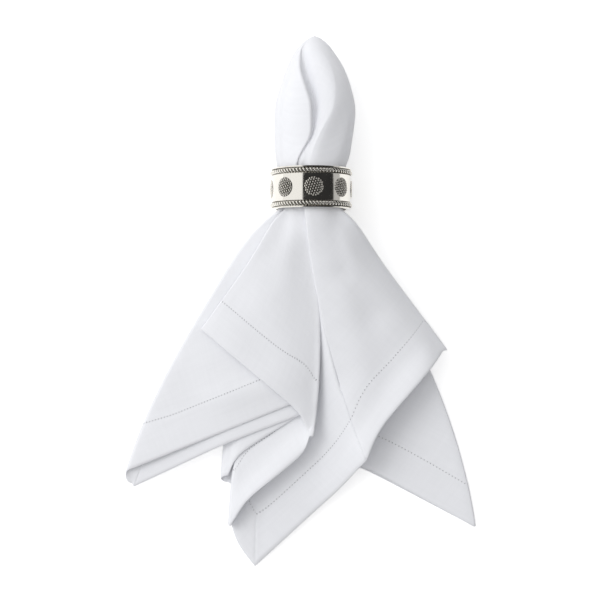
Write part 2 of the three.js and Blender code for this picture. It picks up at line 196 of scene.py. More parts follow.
# Every fold, hem bend and corner, in order round the hem
FOLDS = (
    Fold(
        "inner_left_fold", "middle_tail", "middle_inner", -1, -13, -41, -133.4, 0.26, 0.68, -6, 0,
        (1.5, 1.5), None,
    ),
    Fold("inner_hem_low", "middle_inner", None, 0, -11.5, -32.6, -118.1, 0.7, 0.7, -4, 0, (0, 0), None),
    Fold("inner_hem_high", "middle_inner", None, 0, -8, 3.0, -89.3, 0.7, 0.7, 2, -2.5, (0, 0), None),
    Fold(
        "front_left_roll", "roll_inner", "roll_outer", 1, -3.2, 5.5, -79.3, 0.84, 0.91, 5.2, -1.2,
        (1.8, 2.2), None,
    ),
    Fold("front_left_hem", "front_left", None, 0, -8.5, 0.5, -65.4, 1.0, 1.0, 4, -3, (0, 0), -50),
    Fold(
        "front_left_fold", "front_left", "front_left_return", -1, -12.8, -57, -17.3, 1.0, 0.96, 0, -3,
        (0.7, 0.3), -66,
    ),
    Fold(
        "hidden_right_fold", "front_left_return", "left_tail_front", 1, -9, 0, -58.6, 0.95, 0.89, 3, -3,
        (1, 1), -72,
    ),
    Fold(
        "left_tail_roll", "left_tail_front", "left_tail_back", -1, -15.6, -99.5, -99.4, 0.88, 0.62, -11, -5,
        (2, 3.6), -78, -9,
    ),
    Fold(
        "left_tail_corner", "left_tail_back", None, 0, -14.9, -98.5, -110.5, 0.62, 0.62, -8, -4,
        (0, 0), -83,
    ),
    Fold("left_tail_lift", "left_tail_back", None, 0, -13.5, -46.2, -85.2, 0.83, 0.83, -4, -2, (0, 0), -85),
    Fold("left_tail_hidden", "left_tail_back", "left_inner", 1, -9, 0, -67.1, 0.83, 0.76, 3, -3, (1, 1), -88),
    Fold("left_inner_hem", "left_inner", None, 0, -14, -37.5, -91, 0.76, 0.76, -6, -4, (0, 0), -91),
    Fold(
        "outer_left_fold", "left_inner", "back_left", -1, -15, -42.5, -103.5, 0.6, 0.14, -6, -4,
        (2, 4.4), -93, -5,
    ),
    Fold("back_left_edge", "back_left", None, 0, -12, -40, -110.5, 0.15, 0.15, -4, -2, (0, 0), -96),
    Fold("back_left_hem", "back_left", None, 0, 3, 26.8, -101.3, 0.14, 0.14, 2, 0, (0, 0), -100),
    Fold("back_right_fold", "back_left", "back_return", 1, 9, 75, -44.8, 0.14, 0.1, 3, 2, (1.4, 0.8), -108),
    Fold("back_return_hem", "back_return", None, 0, 2, 26.9, -99.2, 0.1, 0.1, 2, 0, (0, 0), -112),
    Fold(
        "back_left_turn", "back_return", "back_pleat_high", -1, -9, -30, -104, 0.1, 0.065, -3, 0,
        (1, 0.8), -117,
    ),
    Fold("pleat_high_hem", "back_pleat_high", None, 0, 2, 26, -98, 0.065, 0.065, 2, 0, (0, 0), -121),
    Fold(
        "pleat_right_fold", "back_pleat_high", "back_pleat_low", 1, 10, 70, -42, 0.065, 0.03, 3, 2,
        (1, 0.8), -125,
    ),
    Fold("pleat_low_hem", "back_pleat_low", None, 0, 2, 26, -96, 0.03, 0.03, 2, 0, (0, 0), -129),
    Fold("pleat_left_fold", "back_pleat_low", "back_flat", -1, -8, -28, -106, 0.03, 0, -3, 0, (1, 0.8), -134),
    Fold("hidden_corner", "back_flat", None, 0, -6, -22.7, -140.6, 0, 0, -2, 0, (0, 0), -155),
    Fold("back_flat_hem", "back_flat", None, 0, 4, 31.1, -96.9, 0, 0, 6, 0, (0, 0), -195),
    Fold("right_tail_fold", "back_flat", "tail_front", 1, 14, 103.6, -135, 0, 0.26, 14, 2, (1.2, 1.2), -255),
    Fold("right_tail_hem", "tail_front", None, 0, 3, 36.9, -97.7, 0.24, 0.24, 6, 0, (0, 0), -262),
    Fold(
        "right_hidden_fold", "tail_front", "right_return", -1, -10, -28, -104.5, 0.18, 0.23, -2, 0,
        (1, 1), -268,
    ),
    Fold("right_return_hem", "right_return", None, 0, 2, 29.8, -92.8, 0.28, 0.28, 3, 0, (0, 0), -274),
    Fold(
        "front_right_fold", "right_return", "front_right", 1, 14.1, 84.5, -29.6, 0.37, 0.7, 1, 3,
        (2.5, 2.5), -280,
    ),
    Fold("front_right_edge", "front_right", None, 0, 12.8, 79, -36.6, 0.85, 0.85, 1, 2, (0, 0), -292),
    Fold("front_right_hem", "front_right", None, 0, 5, 45.7, -75.1, 1.0, 1.0, 0, 0, (0, 0), -325),
    Fold("ridge", "front_right", "flank", -1, -3.4, 38.8, -92.8, 1.0, 1.0, -5.3, 0, (0.7, 0), None),
    Fold("flank_top", "flank", None, 0, 2.2, 34.4, -98.3, 0.8, 0.8, -8, 0, (0, 0), None),
    Fold("ridge_foot", "valley", None, 0, 0.5, 24, -111, 0.6, 0.6, -5.9, 0, (0, 0), None),
    Fold("middle_tail_hem", "valley_floor", None, 0, -4, 15, -119.5, 0.43, 0.43, -2, 0, (0, 0), None),
    Fold("middle_tail_corner", "middle_tail", None, 0, -11, -26.9, -158.7, 0.26, 0.26, -5, 0, (0, 0), None),
    Fold("middle_tail_edge", "middle_tail", None, 0, -12, -37.5, -145.4, 0.26, 0.26, -6, 0, (0, 0), None),
)
FOLD_AT = {fold.name: place for place, fold in enumerate(FOLDS)}

# The napkin's four corners, in order round the hem, and the signs of their places on the flat cloth
CORNERS = (
    ("middle_tail_corner", (-1, -1)),
    ("left_tail_corner", (-1, 1)),
    ("hidden_corner", (1, 1)),
    ("right_tail_fold", (1, -1)),
)

# Height of the cloth's top over the table, and middle and half width of the skirt, below the ring
DRAPE = SmoothTable(
    (0, 15, 30, 50, 75, 100, 125, 150, 175, 212),
    {"top": (43, 42, 38, 33, 28, 24, 20, 18, 14, 9)},
)
SPREAD = SmoothTable(
    (0, 20, 58, 87, 145, 212),
    {"middle": (8, 2, 3.5, 3.5, -3, -3), "half": (25, 44, 68, 82, 97, 110)},
)

# Sections of the plume, from the ring up: its outline, front and back, and the groove between its lobes
PLUME = SmoothTable(
    (RING_CROWN_Y - 1.2, 81.2, 95.7, 110.2, 123.0, 134.6, 143.8, 149.0, 152.6),
    {
        "left": (RING_X - 19, -13.9, -14.7, -14.6, -11.6, -7.7, -3.5, 0.5, 5.0),
        "right": (RING_X + 19, 28.1, 30.5, 32.1, 29.6, 25.5, 20.0, 16.3, 12.0),
        "back": (RING_Z - 19, 5.0, 4.0, 3.5, 4.0, 6.0, 8.5, 11.5, 15.0),
        "front": (RING_Z + 19, 43.0, 43.0, 42.0, 40.0, 36.0, 31.0, 27.0, 22.0),
        "lip_left": (-3.0, -1.0, 7.0, 6.8, 3.0, 0.2, 0.4, 3.2, 6.0),
        "lip_right": (4.6, 6.0, 12.0, 19.5, 20.5, 17.5, 12.0, 9.5, 10.0),
        "groove": (0.8, 0.9, 2.2, 5.5, 7.2, 5.2, 1.4, 0.1, 0.0),
        "wall": (5.0, 4.5, 2.6, 1.7, 1.5, 1.4, 1.4, 1.2, 1.0),
    },
)
PLUME_TIP = (8.6, 154.3, 18.0)


@dataclass(frozen=True)
class Crease:
    """A soft trough, or a ridge where depth is negative, pressed into the cloth from one place to another.

    With a level, only the layers near that level are pressed.
    """

    start: tuple[float, float]
    end: tuple[float, float]
    width: float
    depth: float
    level: Optional[float] = None


PLUME_CREASES = (
    Crease((-2.5, 93), (-1.5, 91), 4.5, 1.0),
    Crease((-9, 84), (-7, 78), 3.0, 0.8),
    Crease((29, 116), (17, 84), 3.2, 1.2),
)
SKIRT_CREASES = (
    Crease((21, 46), (33, 20), 3.2, -1.3),
    Crease((17, 42), (24, 16), 4.0, 1.2),
    Crease((27, 14), (42, -8), 8.0, 2.0),
    Crease((-9, 48), (-16, 12), 4.0, 1.0),
    Crease((40, -10), (52, -44), 9.0, 1.2),
    Crease((-38, 2), (-22, -28), 8.0, 0.9),
    Crease((-72, -28), (-58, -62), 8.0, 1.1),
    Crease((-48, -58), (-14, -48), 9.0, -1.6),
    Crease((-24, -150), (-22, -128), 3.0, 1.0),
    Crease((70, -78), (88, -116), 8.0, 1.0),
    Crease((80, -34), (42, -88), 11.0, -4.6, 0.93),
    Crease((42.7, 51.2), (94.7, -16.8), 19.0, 9.0),
    Crease((36, -93), (16, -116), 8.0, -1.6),
    Crease((-1, 34), (3, -50), 8.0, 1.6, 0.9),
    Crease((6, -82), (-36, -126), 8.0, -4.6, 0.76),
    Crease((3.5, 40), (23, -46), 9.0, 3.2, 1.08),
    Crease((-8, 44), (-56, -20), 7.0, 1.8, 1.0),
)


@dataclass
class Rays:
    """The rays of cloth, one value for each in every array. See Fold for what the values are."""

    knot: np.ndarray
    neck_x: np.ndarray
    neck_level: np.ndarray
    hem_x: np.ndarray
    hem_y: np.ndarray
    hem_level: np.ndarray
    bow: np.ndarray
    flare: np.ndarray
    roll_neck: np.ndarray
    roll_hem: np.ndarray


@dataclass
class Drape:
    """The napkin's middle surface, as rays of cloth from the plume's tip to the hem."""

    pack_radius: float = 19.3
    pack_flat: float = 14.0
    spread_length: float = 24.0
    neck_roll: float = 0.8
    side_fall: float = 0.25
    side_limit: float = 1.3
    flare_fall: int = 8
    flare_scale: float = 23.1
    floor_clearance: float = 0.5
    fold_span: float = 0.25
    fold_steps: int = 8
    ray_spacing: float = 6.5
    corner_rays: tuple[float, ...] = (0.9, 2.4)
    lip_rounding: float = 2.0
    groove_soft: float = 3.0
    groove_step: float = 0.16
    level_reach: float = 0.14
    plume_rows: int = 34
    bore_rows: int = 5
    near_steps: tuple[float, ...] = (0, 1.5, 3, 4.5, 6.5, 8.5, 11, 13.5, 16.5, 20, 24)
    far_rows: int = 52

    def lay_rays(self) -> Rays:
        """Lays the rays of every fold, and rays between the folds no further apart than ray_spacing."""
        rows: list[tuple[float, ...]] = []
        for place, fold in enumerate(FOLDS):
            following = FOLDS[(place + 1) % len(FOLDS)]
            neck_in = NECK_LEVELS[fold.panel_in]
            neck_out = NECK_LEVELS[fold.panel_out or fold.panel_in]
            turns = np.linspace(0, math.pi, self.fold_steps + 1) if fold.side else np.array([math.pi])
            for turn in turns:
                share = (1 - math.cos(turn)) / 2
                bulge = fold.side * math.sin(turn)
                rows.append((
                    place + (turn / math.pi * 2 - 1) * self.fold_span * abs(fold.side),
                    fold.neck_x, mix(neck_in, neck_out, share), fold.hem_x, fold.hem_y + fold.slide * share,
                    mix(fold.level_in, fold.level_out, share), fold.bow, fold.flare,
                    bulge * fold.roll[0], bulge * fold.roll[1],
                ))
            start = place + self.fold_span * abs(fold.side)
            end = place + 1 - self.fold_span * abs(following.side)
            gap = math.hypot(fold.hem_x - following.hem_x, fold.hem_y - following.hem_y)
            steps = max(3, math.ceil(gap / self.ray_spacing))
            parts = set(np.arange(1, steps) / steps)
            for name, _ in CORNERS:
                if name == fold.name and not fold.side:
                    parts |= {near / gap for near in self.corner_rays}
                if name == following.name and not following.side:
                    parts |= {1 - near / gap for near in self.corner_rays}
            here = (
                start, fold.neck_x, neck_out, fold.hem_x, fold.hem_y + fold.slide,
                fold.level_out, fold.bow, fold.flare,
            )
            there = (
                end, following.neck_x, NECK_LEVELS[following.panel_in], following.hem_x, following.hem_y,
                following.level_in, following.bow, following.flare,
            )
            for part in sorted(parts):
                rows.append((*[mix(a, b, part) for a, b in zip(here, there)], 0.0, 0.0))
        return Rays(*np.array(rows).T)

    def relief(
        self, creases: Sequence[Crease], x: np.ndarray, y: np.ndarray, level: Optional[np.ndarray] = None,
    ) -> np.ndarray:
        """Returns the height that soft creases add to the cloth.

        Args:
            creases: the creases.
            x: places across the cloth.
            y: places along the ring's axis.
            level: the layer of each place, or None to count only the creases of all layers.

        Returns:
            The height at each place.
        """
        height = np.zeros_like(x)
        for crease in creases:
            if (crease.level is None) != (level is None):
                continue
            share = 1.0 if level is None else np.exp(-((level - crease.level) / self.level_reach) ** 4)
            start, end = np.array(crease.start), np.array(crease.end)
            run = end - start
            length = np.hypot(*run)
            along = ((x - start[0]) * run[0] + (y - start[1]) * run[1]) / length**2
            across = ((x - start[0]) * run[1] - (y - start[1]) * run[0]) / length
            overrun = np.maximum(np.abs(along - 0.5) - 0.5, 0) * length / crease.width
            height -= crease.depth * share * np.exp(-(across / crease.width) ** 2 - (overrun / 1.2) ** 2)
        return height

    def layer_height(self, x: np.ndarray, y: np.ndarray, level: np.ndarray) -> np.ndarray:
        """Returns the height over the table of a layer of the skirt."""
        below = np.maximum(RING_MOUTH_Y - y, 0)
        across = np.minimum(np.abs(x - RING_X), self.pack_flat)
        arch = np.sqrt(self.pack_radius**2 - across**2)
        sideways = (x - SPREAD.read("middle", below)) / SPREAD.read("half", below)
        fall = 1 - self.side_fall * np.minimum(sideways**2, self.side_limit)
        draped = DRAPE.read("top", below) * fall + self.relief(SKIRT_CREASES, x, y)
        spread = ease(below / self.spread_length)
        top = mix(RING_Z + arch, draped, spread)
        bottom = mix(RING_Z - arch, self.floor_clearance, spread)
        return mix(bottom, top, level) + self.relief(SKIRT_CREASES, x, y, level) * spread

    def skirt(self, rays: Rays, reach: np.ndarray) -> np.ndarray:
        """Returns places on the skirt, reach 0 at the ring's mouth and 1 at the hem."""
        opened = ease(reach * 3)
        bump = self.flare_scale * reach * (1 - reach) ** self.flare_fall
        roll = mix(rays.roll_neck * mix(self.neck_roll, 1.0, opened), rays.roll_hem, ease(reach))
        x = mix(RING_X + rays.neck_x, rays.hem_x, reach) + rays.bow * 4 * reach * (1 - reach)
        x = x + rays.flare * bump + roll
        y = mix(RING_MOUTH_Y, rays.hem_y, reach)
        level = mix(rays.neck_level, rays.hem_level, ease(reach))
        return np.stack([x, y, self.layer_height(x, y, level)], axis=-1)

    def plume(self, rays: Rays, y: float) -> np.ndarray:
        """Returns places on one section of the plume, round its outside or down its groove."""
        cut = {name: float(PLUME.read(name, y)) for name in PLUME.columns}
        middle, half_width = (cut["left"] + cut["right"]) / 2, (cut["right"] - cut["left"]) / 2
        centre_z, half_depth = (cut["front"] + cut["back"]) / 2, (cut["front"] - cut["back"]) / 2
        lip_in, lip_out = FOLD_AT["front_left_roll"], FOLD_AT["ridge"]
        steep = float(np.clip(cut["groove"] / self.groove_soft, 0, 1))
        radius = self.lip_rounding * steep

        def angle_of(x: np.ndarray) -> np.ndarray:
            """Returns the angle round the section, from its front, of a place across it."""
            return np.arcsin(np.clip((x - middle) / half_width, -1, 1))

        def front_of(x: np.ndarray) -> np.ndarray:
            """Returns the height of the section's front at a place across it."""
            return centre_z + half_depth * np.cos(angle_of(x))

        stops = np.radians([fold.turn or 0.0 for fold in FOLDS])
        stops[lip_in] = angle_of(cut["lip_left"] - radius)
        stops[lip_out] = angle_of(cut["lip_right"]) - 2 * math.pi
        angle = np.interp(rays.knot, np.arange(len(FOLDS)), stops)
        x_out = middle + half_width * np.sin(angle)
        z_out = centre_z + half_depth * np.cos(angle)

        to_floor = np.where(rays.knot > lip_out, len(FOLDS) - rays.knot, -rays.knot)
        off = np.where(to_floor > 0, to_floor / (len(FOLDS) - lip_out), to_floor / lip_in)
        across = 0.5 + 0.5 * off
        depth = ease(across / self.groove_step) * (1 - across ** cut["wall"]) ** 1.5
        x_in = mix(cut["lip_left"], cut["lip_right"], across)
        z_in = front_of(x_in) - radius * (1 - ease(across * 2)) - cut["groove"] * depth

        swing = np.radians(45 + 45 * (rays.knot - lip_in) / self.fold_span)
        x_lip = cut["lip_left"] - radius * (1 - np.cos(swing))
        z_lip = front_of(x_lip) - radius * (1 - np.sin(swing))

        outside = (rays.knot >= lip_in) & (rays.knot <= lip_out)
        lip = (np.abs(rays.knot - lip_in) <= self.fold_span) & (radius > 0)
        x = np.where(lip, x_lip, np.where(outside, x_out, x_in))
        z = np.where(lip, z_lip, np.where(outside, z_out, z_in))
        z = z + self.relief(PLUME_CREASES, x, np.full_like(x, y)) * ease((z - centre_z) / half_depth * 2)
        return np.stack([x, np.full_like(x, y), z], axis=-1)

    def surface(self, rays: Rays) -> np.ndarray:
        """Returns the whole middle surface.

        Args:
            rays: the rays of cloth.

        Returns:
            Places by ray and row, in millimetres, the first row next to the plume's tip.
        """
        crown, tip = PLUME.keys[0], PLUME.keys[-1]
        shares = np.linspace(0, 1, self.plume_rows)
        rows = [self.plume(rays, mix(tip, crown, share**1.35)) for share in shares]
        packed = self.skirt(rays, np.zeros_like(rays.knot))
        last = rows[-1]
        for step in range(1, self.bore_rows + 1):
            part = step / (self.bore_rows + 1)
            place = mix(last, packed, math.sin(part * math.pi / 2))
            place[:, 1] = mix(crown, RING_MOUTH_Y, part)
            rows.append(place)
        drop = RING_MOUTH_Y - rays.hem_y
        rows += [self.skirt(rays, below / drop) for below in self.near_steps]
        near_end = self.near_steps[-1] / drop
        rows += [
            self.skirt(rays, mix(near_end, 1.0, step / self.far_rows)) for step in range(1, self.far_rows + 1)
        ]
        return np.stack(rows, axis=1)


@dataclass(frozen=True)
class LinenFinish:
    """Bleached plain-woven linen: matt, with slubs in both threads and a faint nap at the edges."""

    name: str = "woven_linen"
    colour: str = "EAEBEF"
    slub_colour: str = "E7E8EC"
    roughness: float = 0.9
    sheen: float = 0.12
    sheen_roughness: float = 0.5
    specular: float = 0.2
    thread_mm: float = 0.75
    slub_mm: float = 2.4
    slub_stretch: float = 0.09
    weave_height_mm: float = 0.03
    crumple_mm: float = 14.0
    crumple_height_mm: float = 0.12
    stitch_pitch_mm: float = 2.05
    stitch_from_hem_mm: float = 20.5
    hole_mm: float = 0.4
    hole_depth_mm: float = 0.3
    # Painted shade: the drawn holes take this darker grey in place of the shadow seen through them
    hole_shade_colour: str = "BBBCBF"


@dataclass(frozen=True)
class SilverFinish:
    """Polished silver plate: a mirror with the faint haze of rubbing."""

    name: str = "polished_silver"
    colour: str = "DEDBD4"
    roughness: float = 0.1
    haze_mm: float = 3.0


# Cast beads keep a little of the mould's grain, so their highlights are softer than the band's
CAST_BEADS = SilverFinish(name="cast_silver_beads", roughness=0.17)


@dataclass(frozen=True)
class PatinaFinish:
    """Oxidised silver left in the recesses between beads and strands: dark and half matt."""

    name: str = "oxidised_silver"
    colour: str = "3A3833"
    roughness: float = 0.45
    cloud_mm: float = 1.5


@dataclass(frozen=True)
class ThreadFinish:
    """Linen sewing thread: a little brighter than the cloth, and smoother."""

    name: str = "linen_thread"
    colour: str = "F1F2F5"
    shade_colour: str = "DCDDE1"
    roughness: float = 0.75
    sheen: float = 0.1
    twist_mm: float = 0.4


def add_node(
    tree: bpy.types.NodeTree, kind: str, settings: Optional[dict] = None, **inputs: object,
) -> bpy.types.Node:
    """Adds a node with its settings, and its inputs as values or as links from other sockets.

    Args:
        tree: the node tree.
        kind: the node's type name.
        settings: properties of the node, by name.
        **inputs: a value or an output socket for each input. A name with _ stands for the socket's
            name with a space, and one such as at_2 for the input at that place.

    Returns:
        The new node.
    """
    node = tree.nodes.new(kind)
    for name, value in (settings or {}).items():
        setattr(node, name, value)
    for name, value in inputs.items():
        key = int(name[3:]) if name.startswith("at_") else name.replace("_", " ")
        socket = node.inputs[key]
        if isinstance(value, bpy.types.NodeSocket):
            tree.links.new(value, socket)
        else:
            socket.default_value = value
    return node


def new_material(name: str) -> tuple[bpy.types.Material, bpy.types.NodeTree, bpy.types.Node]:
    """Makes an empty material with its shader.

    Args:
        name: the material's name.

    Returns:
        The material, its node tree and its Principled shader, linked to the output.
    """
    material = bpy.data.materials.new(name)
    material.use_nodes = True
    tree = material.node_tree
    tree.nodes.clear()
    shader = tree.nodes.new("ShaderNodeBsdfPrincipled")
    output = tree.nodes.new("ShaderNodeOutputMaterial")
    tree.links.new(shader.outputs["BSDF"], output.inputs["Surface"])
    return material, tree, shader


def new_tree(
    name: str, sizes: dict[str, float], from_mesh: bool = False,
) -> tuple[bpy.types.NodeTree, bpy.types.NodeOutputs]:
    """Makes an empty geometry node tree with a named input for each size.

    Args:
        name: the tree's name.
        sizes: the value of each named input, in metres where it is a length.
        from_mesh: whether the tree also takes the mesh that it grows from.

    Returns:
        The tree and the sockets that its inputs come from.
    """
    tree = bpy.data.node_groups.new(name, "GeometryNodeTree")
    tree.interface.new_socket("Geometry", in_out="OUTPUT", socket_type="NodeSocketGeometry")
    if from_mesh:
        tree.interface.new_socket("Geometry", in_out="INPUT", socket_type="NodeSocketGeometry")
    for label, value in sizes.items():
        socket = tree.interface.new_socket(label, in_out="INPUT", socket_type="NodeSocketFloat")
        socket.default_value = value
    return tree, tree.nodes.new("NodeGroupInput").outputs


class Materials:
    """The finishes of the napkin and its ring, each made once."""

    def __init__(self, linen: LinenFinish, silver: SilverFinish, patina: PatinaFinish) -> None:
        """Makes the materials.

        Args:
            linen: the cloth.
            silver: the ring's polished metal.
            patina: the ring's darkened recesses.
        """
        self.linen = self._linen(linen)
        self.silver = self._silver(silver)
        self.beads = self._silver(CAST_BEADS)
        self.patina = self._patina(patina)
        self.thread = self._thread(ThreadFinish())

    def _linen(self, finish: LinenFinish) -> bpy.types.Material:
        """Makes linen: threads and slubs from the flat cloth's own map, and drawn holes near the hem, pressed
        in by a bump and darkened with painted shade.
        """
        material, tree, shader = new_material(finish.name)
        flat = add_node(tree, "ShaderNodeUVMap", {"uv_map": "flat"}).outputs[0]
        split = add_node(tree, "ShaderNodeSeparateXYZ", Vector=flat)
        waves = []
        for axis in ("X", "Y"):
            turn = math.tau / (finish.thread_mm * MM)
            scaled = add_node(
                tree, "ShaderNodeMath", {"operation": "MULTIPLY"}, at_0=split.outputs[axis], at_1=turn,
            )
            wave = add_node(tree, "ShaderNodeMath", {"operation": "SINE"}, at_0=scaled.outputs[0])
            waves.append(wave.outputs[0])
        weave = add_node(
            tree, "ShaderNodeMath", {"operation": "MULTIPLY"}, at_0=waves[0], at_1=waves[1],
        ).outputs[0]
        slubs = []
        for stretch in ((1.0, finish.slub_stretch, 1.0), (finish.slub_stretch, 1.0, 1.0)):
            placed = add_node(tree, "ShaderNodeMapping", Vector=flat, Scale=stretch)
            noise = add_node(
                tree, "ShaderNodeTexNoise", Vector=placed.outputs[0], Scale=1 / (finish.slub_mm * MM),
                Detail=3.0,
            )
            slubs.append(noise.outputs[0])
        slub = add_node(tree, "ShaderNodeMath", {"operation": "ADD"}, at_0=slubs[0], at_1=slubs[1]).outputs[0]
        threads = add_node(
            tree, "ShaderNodeMath", {"operation": "MULTIPLY_ADD"}, at_0=weave, at_1=0.5, at_2=slub,
        ).outputs[0]
        crumple = add_node(
            tree, "ShaderNodeTexNoise", Vector=flat, Scale=1 / (finish.crumple_mm * MM), Detail=2.0,
            Roughness=0.45,
        ).outputs[0]
        soft = add_node(
            tree, "ShaderNodeBump", Strength=1.0, Distance=finish.crumple_height_mm * MM, Height=crumple,
        )
        fine = add_node(
            tree, "ShaderNodeBump", Strength=1.0, Distance=finish.weave_height_mm * MM,
            Height=threads, Normal=soft.outputs[0],
        )
        holes = self._drawn_holes(tree, finish)
        deep = add_node(
            tree, "ShaderNodeBump", {"invert": True}, Strength=1.0, Distance=finish.hole_depth_mm * MM,
            Height=holes, Normal=fine.outputs[0],
        )
        tone = add_node(
            tree, "ShaderNodeMapRange", Value=slub, at_1=0.7, at_2=1.3, at_3=0.0, at_4=1.0,
        ).outputs[0]
        base = add_node(
            tree, "ShaderNodeMix", {"data_type": "RGBA"}, at_0=tone,
            at_6=linear(finish.slub_colour), at_7=linear(finish.colour),
        )
        # Painted shade in the drawn holes: the cloth's colour is mixed towards a darker grey inside each hole
        dark = add_node(
            tree, "ShaderNodeMix", {"data_type": "RGBA"}, at_0=holes,
            at_6=base.outputs[2], at_7=linear(finish.hole_shade_colour),
        )
        tree.links.new(dark.outputs[2], shader.inputs["Base Color"])
        tree.links.new(deep.outputs[0], shader.inputs["Normal"])
        shader.inputs["Roughness"].default_value = finish.roughness
        shader.inputs["Sheen Weight"].default_value = finish.sheen
        shader.inputs["Sheen Roughness"].default_value = finish.sheen_roughness
        shader.inputs["Specular IOR Level"].default_value = finish.specular
        return material

    def _drawn_holes(self, tree: bpy.types.NodeTree, finish: LinenFinish) -> bpy.types.NodeSocket:
        """Returns 1 in the hemstitch's small holes and 0 elsewhere, from the cloth's hem measures."""
        along = add_node(tree, "ShaderNodeAttribute", {"attribute_name": "along_hem"}).outputs["Fac"]
        away = add_node(tree, "ShaderNodeAttribute", {"attribute_name": "from_hem"}).outputs["Fac"]
        repeat = add_node(
            tree, "ShaderNodeMath", {"operation": "PINGPONG"}, at_0=along, at_1=finish.stitch_pitch_mm / 2,
        ).outputs[0]
        line = add_node(
            tree, "ShaderNodeMath", {"operation": "SUBTRACT"}, at_0=away, at_1=finish.stitch_from_hem_mm,
        ).outputs[0]
        across = add_node(tree, "ShaderNodeMath", {"operation": "POWER"}, at_0=repeat, at_1=2.0).outputs[0]
        down = add_node(tree, "ShaderNodeMath", {"operation": "MULTIPLY"}, at_0=line, at_1=line).outputs[0]
        total = add_node(tree, "ShaderNodeMath", {"operation": "ADD"}, at_0=across, at_1=down).outputs[0]
        reach = add_node(tree, "ShaderNodeMath", {"operation": "SQRT"}, at_0=total).outputs[0]
        return add_node(
            tree, "ShaderNodeMapRange", {"interpolation_type": "SMOOTHSTEP"},
            Value=reach, at_1=finish.hole_mm * 0.6, at_2=finish.hole_mm, at_3=1.0, at_4=0.0,
        ).outputs[0]

    def _silver(self, finish: SilverFinish) -> bpy.types.Material:
        """Makes polished silver, its roughness broken by faint haze."""
        material, tree, shader = new_material(finish.name)
        place = add_node(tree, "ShaderNodeTexCoord").outputs["Object"]
        haze = add_node(
            tree, "ShaderNodeTexNoise", Vector=place, Scale=1 / (finish.haze_mm * MM), Detail=4.0,
        ).outputs[0]
        rough = add_node(
            tree, "ShaderNodeMapRange", Value=haze, at_1=0.3, at_2=0.7,
            at_3=finish.roughness * 0.7, at_4=finish.roughness * 1.5,
        ).outputs[0]
        shader.inputs["Base Color"].default_value = linear(finish.colour)
        shader.inputs["Metallic"].default_value = 1.0
        tree.links.new(rough, shader.inputs["Roughness"])
        return material

    def _thread(self, finish: ThreadFinish) -> bpy.types.Material:
        """Makes linen thread, its roughness and colour uneven from its twist."""
        material, tree, shader = new_material(finish.name)
        place = add_node(tree, "ShaderNodeTexCoord").outputs["Object"]
        twist = add_node(
            tree, "ShaderNodeTexNoise", Vector=place, Scale=1 / (finish.twist_mm * MM), Detail=2.0,
        ).outputs[0]
        colour = add_node(
            tree, "ShaderNodeMix", {"data_type": "RGBA"}, at_0=twist,
            at_6=linear(finish.shade_colour), at_7=linear(finish.colour),
        ).outputs[2]
        tree.links.new(colour, shader.inputs["Base Color"])
        shader.inputs["Roughness"].default_value = finish.roughness
        shader.inputs["Sheen Weight"].default_value = finish.sheen
        return material

    def _patina(self, finish: PatinaFinish) -> bpy.types.Material:
        """Makes oxidised silver."""
        material, tree, shader = new_material(finish.name)
        place = add_node(tree, "ShaderNodeTexCoord").outputs["Object"]
        cloud = add_node(
            tree, "ShaderNodeTexNoise", Vector=place, Scale=1 / (finish.cloud_mm * MM), Detail=3.0,
        ).outputs[0]
        rough = add_node(
            tree, "ShaderNodeMapRange", Value=cloud, at_1=0.3, at_2=0.7,
            at_3=finish.roughness * 0.8, at_4=finish.roughness * 1.2,
        ).outputs[0]
        shader.inputs["Base Color"].default_value = linear(finish.colour)
        shader.inputs["Metallic"].default_value = 1.0
        tree.links.new(rough, shader.inputs["Roughness"])
        return material


def new_mesh(name: str, points: np.ndarray, faces: np.ndarray, shift: Vector) -> bpy.types.Object:
    """Makes a smooth mesh object at the origin, from places in millimetres.

    Args:
        name: the object's name.
        points: one place a row.
        faces: corners of each face, -1 where a face has three.
        shift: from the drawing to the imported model, in millimetres.

    Returns:
        The object, in the scene.
    """
    mesh = bpy.data.meshes.new(name)
    corners = [[corner for corner in face if corner >= 0] for face in faces.tolist()]
    mesh.from_pydata(((points + np.array(shift)) * MM).tolist(), [], corners)
    mesh.validate()
    mesh.shade_smooth()
    piece = bpy.data.objects.new(name, mesh)
    bpy.context.scene.collection.objects.link(piece)
    return piece


@dataclass
class Sheet:
    """The napkin's middle surface with its normals and its distances from the hem, by ray and row."""

    grid: np.ndarray
    normals: np.ndarray
    away: np.ndarray
    along: np.ndarray


